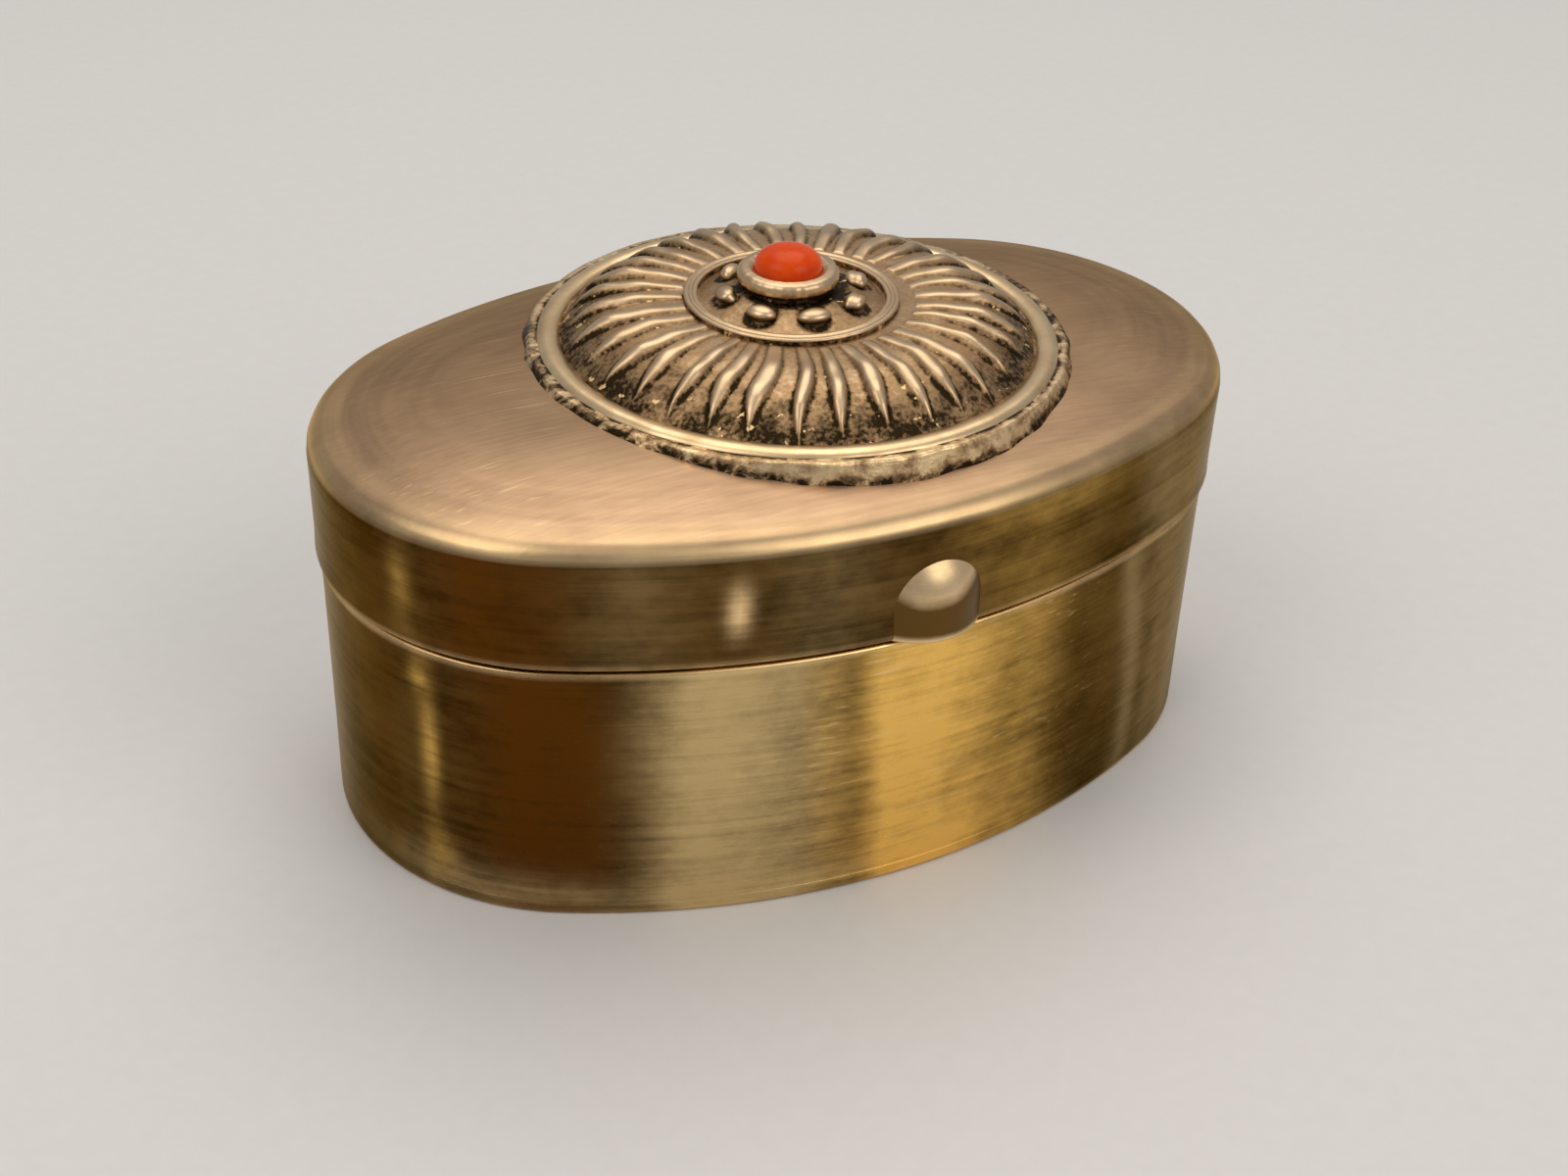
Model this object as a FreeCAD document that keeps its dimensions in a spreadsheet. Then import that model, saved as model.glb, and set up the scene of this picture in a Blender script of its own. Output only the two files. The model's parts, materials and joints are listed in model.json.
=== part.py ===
"""Oval silver box with a hinged lid, a chased sunburst medallion and a coral cabochon.

Millimetres, +Z up. The origin is the centre of the resting face, +X runs along the
oval, the thumb knob is at -Y and the hinge at +Y. The lid is drawn closed.
"""
import FreeCAD, Part
import math
import os

import Sketcher

# Driving sizes, in millimetres, degrees or counts
SIZES = {
    # Oval plan: two end arcs and two side arcs that meet tangent
    "half_length": 25.0,
    "half_width": 16.1,
    "end_radius": 13.36,
    # Base
    "sheet": 0.8,
    "floor_sheet": 0.8,
    "floor_round": 0.3,
    "base_height": 14.85,
    "lip_sheet": 0.6,
    "lip_depth": 4.0,
    "lip_rise": 1.8,
    # Lid
    "seam_gap": 0.25,
    "lid_overhang": 0.2,
    "lid_wall_height": 4.63,
    "top_skirt": 2.2,
    "edge_round": 1.4,
    "crown": 1.2,
    "crown_run": 8.0,
    # Thumb knob
    "knob_radius": 3.4,
    "knob_rise": 1.7,
    "knob_sink": 2.5,
    "knob_shift": 0.45,
    # Hinge
    "hinge_length": 14.0,
    "hinge_inset": 0.6,
    "knuckle_radius": 1.1,
    "knuckle_gap": 0.1,
    "groove_clearance": 0.15,
    "pin_radius": 0.5,
    "pin_clearance": 0.05,
    "pin_head_radius": 0.8,
    "pin_head": 0.25,
    "bearer_depth": 1.9,
    "bearer_height": 2.2,
    # Medallion, set off the middle of the lid by hand
    "medallion_x": 1.2,
    "medallion_y": 0.8,
    "medallion_setback": 0.2,
    "collar_batter": 0.4,
    "collar_height": 0.2,
    "rim_width": 1.24,
    "rim_height": 0.45,
    "rim_ledge": 0.55,
    "dome_sheet": 0.6,
    "dome_edge": 0.3,
    "dome_height": 2.34,
    "field_margin": 0.1,
    # Rays
    "ray_count": 34,
    "ray_root_gap": 0.1,
    "ray_end_margin": 0.4,
    "ray_sink": 0.25,
    "ray_height": 0.4,
    "ray_root_width": 1.0,
    "ray_width": 1.3,
    "ray_tip_width": 0.2,
    "ray_tip_height": 0.1,
    # Rosette and stone
    "rosette_shift": 0.46,
    "ring_radius": 5.66,
    "ring_width": 0.73,
    "ring_height": 0.35,
    "bead_count": 8,
    "bead_turn": 37.5,
    "bead_circle": 3.55,
    "bead_radius": 0.6,
    "bead_lift": 0.15,
    "boss_gap": 0.1,
    "boss_ledge": 0.1,
    "boss_rise": 0.75,
    "stone_shift": 0.7,
    "bezel_neck_radius": 2.3,
    "bezel_neck_height": 0.3,
    "bezel_radius": 2.66,
    "bezel_height": 1.15,
    "stone_radius": 1.77,
    "stone_clearance": 0.03,
    "stone_seat": 0.5,
    "stone_rise": 1.05,
}

KNUCKLES = 5
BASE_KNUCKLES = {"left": 0, "middle": 2, "right": 4}
LID_KNUCKLES = {"left": 1, "right": 3}

# Rings of the lid's crown: shares of its run inwards and of its rise
CROWN_RINGS = (("foot", 0.0, 0.0), ("shoulder", 0.5, 0.75), ("peak", 1.0, 1.0))

# Where along a ray it is widest, and where it starts to draw in to its tip
RAY_WIDEST = 0.5
RAY_TAPER = 0.78

doc = FreeCAD.newDocument("oval_silver_box")


class Size:
    """A length that keeps its number and the sheet expression that gives it."""

    def __init__(self, value, text):
        self.value = value
        self.text = text

    def join(self, other, sign, value):
        return Size(value, f"({self.text} {sign} {other.text})")

    def __add__(self, other):
        other = as_size(other)
        return self.join(other, "+", self.value + other.value)

    def __sub__(self, other):
        other = as_size(other)
        return self.join(other, "-", self.value - other.value)

    def __mul__(self, other):
        other = as_size(other)
        return self.join(other, "*", self.value * other.value)

    def __truediv__(self, other):
        other = as_size(other)
        return self.join(other, "/", self.value / other.value)

    def __neg__(self):
        return Size(-self.value, f"(-1 * {self.text})")


def as_size(number):
    return number if isinstance(number, Size) else Size(number, str(number))


def root(size):
    return Size(math.sqrt(size.value), f"sqrt({size.text})")


def make_sheet():
    """Write the driving sizes to a sheet, and return them by name."""
    sheet = doc.addObject("Spreadsheet::Sheet", "Sizes")
    named = {}
    for row, (name, value) in enumerate(SIZES.items(), start=1):
        sheet.set(f"A{row}", name)
        sheet.set(f"B{row}", str(value))
        sheet.setAlias(f"B{row}", name)
        named[name] = Size(value, f"Sizes.{name}")
    doc.recompute()
    return named


size = make_sheet()
zero = as_size(0.0)

# Levels
lid_bottom = size["base_height"] + size["seam_gap"]
lid_top_seat = lid_bottom + size["lid_wall_height"]
lid_edge = lid_top_seat + size["top_skirt"]
crown_top = lid_edge + size["crown"]
collar_foot = lid_edge - size["sheet"] / 4
collar_top = crown_top + size["collar_height"]
field_level = crown_top + size["dome_height"]

# Insets from the base's outer oval, inwards positive
outside = zero
inside = size["sheet"]
lid_outside = -size["lid_overhang"]
lid_inside = size["sheet"] - size["lid_overhang"]
crown_foot = lid_outside + size["edge_round"]

# Hinge line
axis_y = size["half_width"] - size["hinge_inset"]
axis_z = size["base_height"] + size["seam_gap"] / 2
knuckle_pitch = size["hinge_length"] / KNUCKLES
groove_length = size["hinge_length"] + (size["pin_head"] + size["groove_clearance"]) * 2

# Medallion radii
collar_radius = size["half_width"] - crown_foot - size["medallion_setback"]
collar_top_radius = collar_radius - size["collar_batter"]
rim_radius = collar_top_radius - size["rim_ledge"]
dome_radius = rim_radius - size["rim_width"]
dome_edge_level = crown_top + size["dome_edge"]
field_radius = size["ring_radius"] + size["rosette_shift"] + size["field_margin"]
dome_run = dome_radius - field_radius
dome_drop = field_level - dome_edge_level
dome_curve = (dome_run * dome_run + dome_drop * dome_drop) / (dome_drop * 2)

# Centres, by their place in plan
oval_centre = (zero, zero)
medallion_centre = (size["medallion_x"], size["medallion_y"])
rosette_centre = (size["medallion_x"] - size["rosette_shift"], size["medallion_y"])
stone_centre = (size["medallion_x"] - size["stone_shift"], size["medallion_y"])

# Rosette radii and levels
ring_inner = size["ring_radius"] - size["ring_width"]
boss_radius = ring_inner - size["boss_gap"]
boss_top_radius = size["bezel_radius"] + size["stone_shift"] - size["rosette_shift"] + size["boss_ledge"]
boss_level = field_level + size["boss_rise"]
boss_slope = size["boss_rise"] / (boss_radius - boss_top_radius)
bead_level = field_level + boss_slope * (boss_radius - size["bead_circle"])


def bind(item, prop, length):
    item.setExpression(prop, length.text)


def put(item, x, y, z):
    """Tie an object's place to three sizes."""
    bind(item, "Placement.Base.x", as_size(x))
    bind(item, "Placement.Base.y", as_size(y))
    bind(item, "Placement.Base.z", as_size(z))


def new_body(label):
    return doc.addObject("PartDesign::Body", label)


def origin_feature(body, role):
    return next(item for item in body.Origin.OriginFeatures if item.Role == role)


def new_sketch(body, name, role, offset=zero):
    """A sketch on one of the body's own planes, moved along its normal by the offset."""
    sketch = body.newObject("Sketcher::SketchObject", name)
    sketch.AttachmentSupport = (origin_feature(body, role), [""])
    sketch.MapMode = "FlatFace"
    bind(sketch, "AttachmentOffset.Base.z", offset)
    return sketch


def constrain(sketch, length, kind, *places):
    """A dimension of the sketch, tied to a size."""
    index = sketch.addConstraint(Sketcher.Constraint(kind, *places, length.value))
    bind(sketch, f"Constraints[{index}]", length)


def add_oval(sketch, inset):
    """The four-arc oval, drawn in by the inset: every inset shares the same four centres."""
    length, width, end = size["half_length"], size["half_width"], size["end_radius"]
    end_centre = length - end
    side_radius = (end_centre * end_centre + width * width - end * end) / ((width - end) * 2)
    side_centre = side_radius - width
    turn = math.atan2(side_centre.value, end_centre.value)
    arcs = (
        (end_centre.value, 0.0, end.value - inset.value, -turn, turn),
        (0.0, -side_centre.value, side_radius.value - inset.value, turn, math.pi - turn),
        (-end_centre.value, 0.0, end.value - inset.value, math.pi - turn, math.pi + turn),
        (0.0, side_centre.value, side_radius.value - inset.value, math.pi + turn, 2 * math.pi - turn),
    )
    first = len(sketch.Geometry)
    up = FreeCAD.Vector(0, 0, 1)
    for x, y, radius, start, stop in arcs:
        circle = Part.Circle(FreeCAD.Vector(x, y, 0), up, radius)
        sketch.addGeometry(Part.ArcOfCircle(circle, start, stop), False)
    right, back, left, front = range(first, first + 4)
    for arc, following in ((right, back), (back, left), (left, front), (front, right)):
        sketch.addConstraint(Sketcher.Constraint("Tangent", arc, 2, following, 1))
    for arc, axis in ((right, -1), (left, -1), (back, -2)):
        sketch.addConstraint(Sketcher.Constraint("PointOnObject", arc, 3, axis))
    for arc, opposite in ((right, left), (back, front)):
        sketch.addConstraint(Sketcher.Constraint("Equal", arc, opposite))
    constrain(sketch, end - inset, "Radius", right)
    constrain(sketch, end_centre, "DistanceX", -1, 1, right, 3)
    constrain(sketch, side_centre, "DistanceY", back, 3, -1, 1)


def pad(body, name, sketch, height):
    feature = body.newObject("PartDesign::Pad", name)
    feature.Profile = sketch
    bind(feature, "Length", height)
    return feature


def oval_pad(label, insets, level, height):
    """A body padded from one oval, or from the band between two of them."""
    body = new_body(label)
    sketch = new_sketch(body, f"{label}_plan", "XY_Plane", level)
    for inset in insets:
        add_oval(sketch, inset)
    pad(body, f"{label}_pad", sketch, height)
    return body


def edges_at(feature, level):
    """Names of the feature's edges that lie in one level plane."""
    names = []
    for index, edge in enumerate(feature.Shape.Edges, start=1):
        box = edge.BoundBox
        if abs(box.ZMin - level.value) < 1e-4 and abs(box.ZMax - level.value) < 1e-4:
            names.append(f"Edge{index}")
    return names


def round_edges(body, name, feature, level, radius):
    """Round the edges of the body's last feature that lie at a level."""
    doc.recompute()
    fillet = body.newObject("PartDesign::Fillet", name)
    fillet.Base = (feature, edges_at(feature, level))
    bind(fillet, "Radius", radius)
    return fillet


def draw_profile(sketch, corners, arcs=None):
    """A closed outline through the corners; arcs gives the centre of the side that leaves a corner."""
    arcs = arcs or {}
    places = [FreeCAD.Vector(x.value, y.value, 0) for x, y in corners]
    starts = []
    for index, here in enumerate(places):
        there = places[(index + 1) % len(places)]
        if index in arcs:
            x, y, turn = arcs[index]
            centre = FreeCAD.Vector(x.value, y.value, 0)
            angles = [math.atan2(p.y - centre.y, p.x - centre.x) for p in (here, there)]
            ends = angles if turn > 0 else angles[::-1]
            circle = Part.Circle(centre, FreeCAD.Vector(0, 0, 1), (here - centre).Length)
            starts.append((1, 2) if turn > 0 else (2, 1))
            sketch.addGeometry(Part.ArcOfCircle(circle, *ends), False)
        else:
            starts.append((1, 2))
            sketch.addGeometry(Part.LineSegment(here, there), False)
    for index, (x, y) in enumerate(corners):
        before = index - 1 if index else len(corners) - 1
        start, stop = starts[index][0], starts[before][1]
        sketch.addConstraint(Sketcher.Constraint("Coincident", before, stop, index, start))
        for length, kind, axis in ((x, "DistanceX", -2), (y, "DistanceY", -1)):
            if length is zero:
                sketch.addConstraint(Sketcher.Constraint("PointOnObject", index, start, axis))
            else:
                constrain(sketch, length, kind, -1, 1, index, start)
    for index, (x, y, _) in arcs.items():
        flat = places[index].y == places[(index + 1) % len(places)].y
        if flat:
            constrain(sketch, y, "DistanceY", -1, 1, index, 3)
        elif x is zero:
            sketch.addConstraint(Sketcher.Constraint("PointOnObject", index, 3, -2))
        else:
            constrain(sketch, x, "DistanceX", -1, 1, index, 3)


def turned(label, corners, arcs=None, centre=oval_centre):
    """A body turned about its own upright axis from radius and level corners."""
    body = new_body(label)
    sketch = new_sketch(body, f"{label}_section", "XZ_Plane")
    draw_profile(sketch, corners, arcs)
    feature = body.newObject("PartDesign::Revolution", f"{label}_turn")
    feature.Profile = sketch
    feature.ReferenceAxis = (sketch, ["V_Axis"])
    feature.Angle = 360.0
    put(body, *centre, zero)
    return body


def box(name, corner, sides):
    item = doc.addObject("Part::Box", name)
    for prop, length in zip(("Length", "Width", "Height"), sides):
        bind(item, prop, length)
    put(item, *corner)
    return item


def bar(name, radius, length, start):
    """A round bar on the hinge line, from a start along X."""
    item = doc.addObject("Part::Cylinder", name)
    bind(item, "Radius", radius)
    bind(item, "Height", length)
    item.Placement.Rotation = FreeCAD.Rotation(FreeCAD.Vector(0, 1, 0), 90)
    put(item, start, axis_y, axis_z)
    return item


def fuse(label, shapes):
    item = doc.addObject("Part::MultiFuse", label)
    item.Shapes = shapes
    return item


def cut(label, base, tool):
    item = doc.addObject("Part::Cut", label)
    item.Base = base
    item.Tool = tool
    return item


def knuckle_start(place):
    return knuckle_pitch * place - size["hinge_length"] / 2 + size["knuckle_gap"] / 2


def knuckle(label, place):
    """One tube of the hinge, bored for the pin."""
    length = knuckle_pitch - size["knuckle_gap"]
    tube = bar(f"{label}_tube", size["knuckle_radius"], length, knuckle_start(place))
    bore = bar(f"{label}_bore", size["pin_radius"] + size["pin_clearance"], length, knuckle_start(place))
    return cut(label, tube, bore)


def groove(name, free_places):
    """The filed groove of one wall: it seats that wall's own tubes and runs clear of the others."""
    seat = bar(f"{name}_seat", size["knuckle_radius"], groove_length, -groove_length / 2)
    clear = size["groove_clearance"]
    reliefs = [
        bar(
            f"{name}_relief_{place}",
            size["knuckle_radius"] + clear,
            knuckle_pitch - size["knuckle_gap"] + clear * 2,
            knuckle_start(place) - clear,
        )
        for place in free_places
    ]
    return fuse(name, [seat] + reliefs)


def bearer(label, inset, level, filed):
    """A strip that fits the inner face of a wall behind the hinge, filed for the tubes."""
    blank = oval_pad(f"{label}_blank", [inset], level, size["bearer_height"])
    front = axis_y - size["bearer_depth"]
    window = box(
        f"{label}_window",
        (-groove_length / 2, front, level),
        (groove_length, size["half_width"] - front, size["bearer_height"]),
    )
    strip = doc.addObject("Part::Common", f"{label}_strip")
    strip.Base = blank
    strip.Tool = window
    return cut(label, strip, filed)


def make_base():
    """Floor, wall, lip and the base's half of the hinge."""
    floor = new_body("base_floor")
    plan = new_sketch(floor, "base_floor_plan", "XY_Plane")
    add_oval(plan, outside)
    plate = pad(floor, "base_floor_pad", plan, size["floor_sheet"])
    round_edges(floor, "base_floor_edge", plate, zero, size["floor_round"])

    filed = groove("base_groove", LID_KNUCKLES.values())
    wall_height = size["base_height"] - size["floor_sheet"]
    band = oval_pad("base_wall_band", [outside, inside], size["floor_sheet"], wall_height)
    wall = cut("base_wall", band, filed)

    lip_level = size["base_height"] - size["lip_depth"]
    lip_height = size["lip_depth"] + size["lip_rise"]
    lip_band = oval_pad("base_lip_band", [inside, inside + size["lip_sheet"]], lip_level, lip_height)
    lip_window = groove_length + size["groove_clearance"] * 2
    window = box(
        "base_lip_window",
        (-lip_window / 2, zero, lip_level),
        (lip_window, size["half_width"], lip_height),
    )
    lip = cut("base_lip", lip_band, window)

    strip_level = size["base_height"] - size["bearer_height"]
    strip = bearer("base_hinge_bearer", inside, strip_level, filed)
    tubes = [knuckle(f"base_knuckle_{side}", place) for side, place in BASE_KNUCKLES.items()]
    return [floor, wall, lip, strip] + tubes


def make_pin():
    """The hinge pin, with a peened head at each end."""
    half = size["hinge_length"] / 2
    rod = bar("hinge_pin_rod", size["pin_radius"], size["hinge_length"], -half)
    left = bar("hinge_pin_left_head", size["pin_head_radius"], size["pin_head"], -half - size["pin_head"])
    right = bar("hinge_pin_right_head", size["pin_head_radius"], size["pin_head"], half)
    return [fuse("hinge_pin", [rod, left, right])]


def stack_crown(body, kind, name, level):
    """A low crown of ovals stacked from a level, added to the body or taken from it."""
    rings = []
    for place, run, rise in CROWN_RINGS:
        ring = new_sketch(body, f"{name}_{place}", "XY_Plane", level + size["crown"] * rise)
        add_oval(ring, crown_foot + size["crown_run"] * run)
        rings.append(ring)
    loft = body.newObject(kind, name)
    loft.Profile = rings[0]
    loft.Sections = rings[1:]
    loft.Ruled = True


def lid_blank(label):
    """The outer form of the top plate: a rounded edge and a low crown."""
    body = new_body(label)
    plan = new_sketch(body, f"{label}_plan", "XY_Plane", lid_top_seat)
    add_oval(plan, lid_outside)
    plate = pad(body, f"{label}_pad", plan, size["top_skirt"])
    round_edges(body, f"{label}_edge", plate, lid_edge, size["edge_round"])
    stack_crown(body, "PartDesign::AdditiveLoft", f"{label}_crown", lid_edge)
    return body


def make_lid_top():
    """The top plate: the blank hollowed from below to one sheet, so that it is a shallow dish."""
    body = lid_blank("lid_top")
    hollow = new_sketch(body, "lid_top_hollow_plan", "XY_Plane", lid_top_seat)
    add_oval(hollow, lid_inside)
    pocket = body.newObject("PartDesign::Pocket", "lid_top_hollow")
    pocket.Profile = hollow
    pocket.Reversed = True
    bind(pocket, "Length", size["top_skirt"] - size["sheet"])
    stack_crown(body, "PartDesign::SubtractiveLoft", "lid_top_crown_hollow", lid_edge - size["sheet"])
    return body


def make_knob():
    """The thumb knob: an upright ball end sunk in the lid's front wall, flat at the lid's lower edge."""
    middle = lid_bottom + size["knob_rise"]
    radius = size["knob_radius"]
    axis = (size["knob_shift"], size["knob_sink"] - size["half_width"] + lid_outside)
    blank = turned(
        "thumb_knob_blank",
        [(zero, lid_bottom), (radius, lid_bottom), (radius, middle), (zero, middle + radius)],
        {2: (zero, middle, 1)},
        axis,
    )
    wall = oval_pad("thumb_knob_wall", [lid_outside], lid_bottom, lid_edge - lid_bottom)
    return cut("thumb_knob", blank, wall)


def make_lid():
    """Wall, top, knob and the lid's half of the hinge."""
    filed = groove("lid_groove", BASE_KNUCKLES.values())
    band = oval_pad("lid_wall_band", [lid_outside, lid_inside], lid_bottom, size["lid_wall_height"])
    wall = cut("lid_wall", band, filed)
    strip = bearer("lid_hinge_bearer", lid_inside, lid_bottom, filed)
    tubes = [knuckle(f"lid_knuckle_{side}", place) for side, place in LID_KNUCKLES.items()]
    return [wall, make_lid_top(), strip, make_knob()] + tubes


def make_collar():
    """The sloping foot of the medallion, fitted down to the crowned lid."""
    blank = turned(
        "medallion_collar_blank",
        [
            (dome_radius, collar_foot),
            (collar_radius, collar_foot),
            (collar_top_radius, collar_top),
            (dome_radius, collar_top),
        ],
        centre=medallion_centre,
    )
    return cut("medallion_collar", blank, lid_blank("medallion_bed"))


def make_rim():
    """Low round-backed wire on top of the collar."""
    width, height = size["rim_width"], size["rim_height"]
    rim_curve = (width * width / 4 + height * height) / (height * 2)
    middle = (rim_radius - width / 2, collar_top + height - rim_curve)
    corners = [(rim_radius, collar_top), (dome_radius, collar_top)]
    return turned("medallion_rim", corners, {0: (*middle, 1)}, medallion_centre)


def dome_level(radius):
    """Level of the dome's upper face at a radius outside the flat field."""
    run = radius - field_radius
    return field_level - dome_curve + root(dome_curve * dome_curve - run * run)


def ray_section(body, index, radius, width, height):
    """One cross-section of a ray: a low arch, its chord sunk below the dome's face."""
    sketch = new_sketch(body, f"ray_section_{index}", "YZ_Plane", radius)
    chord = dome_level(radius) - size["ray_sink"]
    arch = height + size["ray_sink"]
    arch_radius = (width * width / 4 + arch * arch) / (arch * 2)
    corners = [(width / 2, chord), (-width / 2, chord)]
    draw_profile(sketch, corners, {0: (zero, chord + arch - arch_radius, 1)})
    return sketch


def make_dome():
    """The domed sheet: a flat field, a falling shoulder, a skirt, and a ring of raised rays."""
    inner = dome_radius - size["dome_sheet"]
    inner_curve = dome_curve - size["dome_sheet"]
    inner_run = inner - field_radius
    under_field = field_level - size["dome_sheet"]
    centre = field_level - dome_curve
    under_edge = centre + root(inner_curve * inner_curve - inner_run * inner_run)
    body = turned(
        "medallion_dome",
        [
            (zero, under_field),
            (field_radius, under_field),
            (inner, under_edge),
            (inner, crown_top),
            (dome_radius, crown_top),
            (dome_radius, dome_edge_level),
            (field_radius, field_level),
            (zero, field_level),
        ],
        {1: (field_radius, centre, -1), 5: (field_radius, centre, 1)},
        medallion_centre,
    )
    ray_start = field_radius + size["ray_root_gap"]
    length = dome_radius - size["ray_end_margin"] - ray_start
    sections = [
        ray_section(body, 0, ray_start, size["ray_root_width"], size["ray_height"]),
        ray_section(body, 1, ray_start + length * RAY_WIDEST, size["ray_width"], size["ray_height"]),
        ray_section(body, 2, ray_start + length * RAY_TAPER, size["ray_root_width"], size["ray_height"]),
        ray_section(body, 3, ray_start + length, size["ray_tip_width"], size["ray_tip_height"]),
    ]
    ray = body.newObject("PartDesign::AdditiveLoft", "ray")
    ray.Profile = sections[0]
    ray.Sections = sections[1:]
    rays = body.newObject("PartDesign::PolarPattern", "rays")
    rays.Originals = [ray]
    rays.Axis = (origin_feature(body, "Z_Axis"), [""])
    rays.Angle = 360.0
    bind(rays, "Occurrences", size["ray_count"])
    body.Tip = rays
    return body


def make_beads(boss):
    """Grains on a circle, each a ball fitted to the slope of the boss."""
    balls = []
    for index in range(SIZES["bead_count"]):
        ball = doc.addObject("Part::Sphere", f"rosette_ball_{index}")
        bind(ball, "Radius", size["bead_radius"])
        turn = f"(({index} * 360 / Sizes.bead_count + Sizes.bead_turn) * 1 deg)"
        ball.setExpression("Placement.Base.x", f"Sizes.bead_circle * cos{turn} + {rosette_centre[0].text}")
        ball.setExpression("Placement.Base.y", f"Sizes.bead_circle * sin{turn} + {rosette_centre[1].text}")
        bind(ball, "Placement.Base.z", bead_level + size["bead_lift"])
        balls.append(ball)
    group = doc.addObject("Part::Compound", "rosette_balls")
    group.Links = balls
    return cut("rosette_beads", group, boss)


def make_rosette():
    """Flat ring and low boss with grains, set a little off the middle by hand."""
    ring_top = field_level + size["ring_height"]
    ring = turned(
        "rosette_ring",
        [
            (ring_inner, field_level),
            (size["ring_radius"], field_level),
            (size["ring_radius"], ring_top),
            (ring_inner, ring_top),
        ],
        centre=rosette_centre,
    )
    boss = turned(
        "rosette_boss",
        [(zero, field_level), (boss_radius, field_level), (boss_top_radius, boss_level), (zero, boss_level)],
        centre=rosette_centre,
    )
    return [ring, boss, make_beads(boss)]


def make_stone():
    """The bezel, a wide collar on a narrow neck, and the cabochon that it holds."""
    neck_top = boss_level + size["bezel_neck_height"]
    bezel_top = boss_level + size["bezel_height"]
    seat = boss_level + size["stone_seat"]
    bore = size["stone_radius"] + size["stone_clearance"]
    bezel = turned(
        "stone_bezel",
        [
            (zero, boss_level),
            (size["bezel_neck_radius"], boss_level),
            (size["bezel_neck_radius"], neck_top),
            (size["bezel_radius"], neck_top),
            (size["bezel_radius"], bezel_top),
            (bore, bezel_top),
            (bore, seat),
            (zero, seat),
        ],
        centre=stone_centre,
    )
    radius, rise = size["stone_radius"], size["stone_rise"]
    curve = (radius * radius + rise * rise) / (rise * 2)
    apex = bezel_top + rise
    stone = turned(
        "coral_cabochon",
        [(zero, seat), (radius, seat), (radius, bezel_top), (zero, apex)],
        {2: (zero, apex - curve, 1)},
        centre=stone_centre,
    )
    return [bezel, stone]


def check(subparts):
    """Stop if anything failed to build, and print each sub-part's solids and volume."""
    doc.recompute()
    failed = [item.Name for item in doc.Objects if {"Invalid", "Error"} & set(item.State)]
    if failed:
        raise RuntimeError(f"not built: {failed}")
    for item in subparts:
        shape = item.Shape
        if shape.isNull() or not shape.isValid() or not shape.Solids:
            raise RuntimeError(f"bad shape: {item.Label}")
        print(f"{item.Label}: {len(shape.Solids)} solids, {shape.Volume:.3f} mm3")


def write(subparts):
    os.makedirs("parts", exist_ok=True)
    for item in subparts:
        item.Shape.exportStep(f"parts/{item.Label}.step")


base = make_base()
pin = make_pin()
lid = make_lid()
medallion = [make_collar(), make_rim(), make_dome()]
subparts = base + pin + lid + medallion + make_rosette() + make_stone()
check(subparts)
write(subparts)
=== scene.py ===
"""Oval silver box with a hinged lid, a chased medallion and a coral stone, dressed around its frame.

Lengths are metres and +Z is up. The knob is at the front, towards -Y, and the hinge at the back.
"""
import json
import math

import bpy
import numpy as np
from mathutils import Matrix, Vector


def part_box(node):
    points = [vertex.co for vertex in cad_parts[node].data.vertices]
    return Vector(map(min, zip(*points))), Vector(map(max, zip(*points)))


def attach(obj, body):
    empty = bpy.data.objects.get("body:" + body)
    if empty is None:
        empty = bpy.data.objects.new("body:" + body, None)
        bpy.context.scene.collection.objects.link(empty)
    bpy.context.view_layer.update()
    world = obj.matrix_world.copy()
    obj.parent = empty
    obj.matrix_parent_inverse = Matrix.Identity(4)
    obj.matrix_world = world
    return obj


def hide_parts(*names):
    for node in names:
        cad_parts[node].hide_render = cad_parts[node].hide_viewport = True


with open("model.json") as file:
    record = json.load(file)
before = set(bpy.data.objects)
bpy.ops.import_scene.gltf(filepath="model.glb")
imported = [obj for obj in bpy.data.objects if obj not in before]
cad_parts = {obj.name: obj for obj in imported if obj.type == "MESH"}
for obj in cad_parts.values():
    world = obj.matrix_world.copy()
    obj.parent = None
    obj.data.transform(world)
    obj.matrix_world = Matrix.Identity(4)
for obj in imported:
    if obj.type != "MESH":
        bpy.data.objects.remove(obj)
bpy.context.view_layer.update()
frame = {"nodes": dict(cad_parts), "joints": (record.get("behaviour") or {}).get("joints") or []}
MM = 0.001
MICRON = 1e-6
TAU = 2 * math.pi


# Places and sizes that the frame gives

def corners_of(node):
    """Lowest and highest corner of a node, as arrays."""
    low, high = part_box(node)
    return np.array(low), np.array(high)


floor_low, floor_high = corners_of("base_floor")
wall_low, wall_high = corners_of("base_wall")
lip_low, lip_high = corners_of("base_lip")
lid_low, lid_high = corners_of("lid_wall")
top_high = corners_of("lid_top")[1]
collar_low, collar_high = corners_of("medallion_collar")
rim_low, rim_high = corners_of("medallion_rim")
dome_low, dome_high = corners_of("medallion_dome")
ring_low, ring_high = corners_of("rosette_ring")
boss_low, boss_high = corners_of("rosette_boss")
bezel_low, bezel_high = corners_of("stone_bezel")
stone_low, stone_high = corners_of("coral_cabochon")
knob_low, knob_high = corners_of("thumb_knob")
pin_low, pin_high = corners_of("hinge_pin")
hinge = frame["joints"][0]
hinge_y, hinge_z = hinge["pos_m"][1:]

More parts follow.
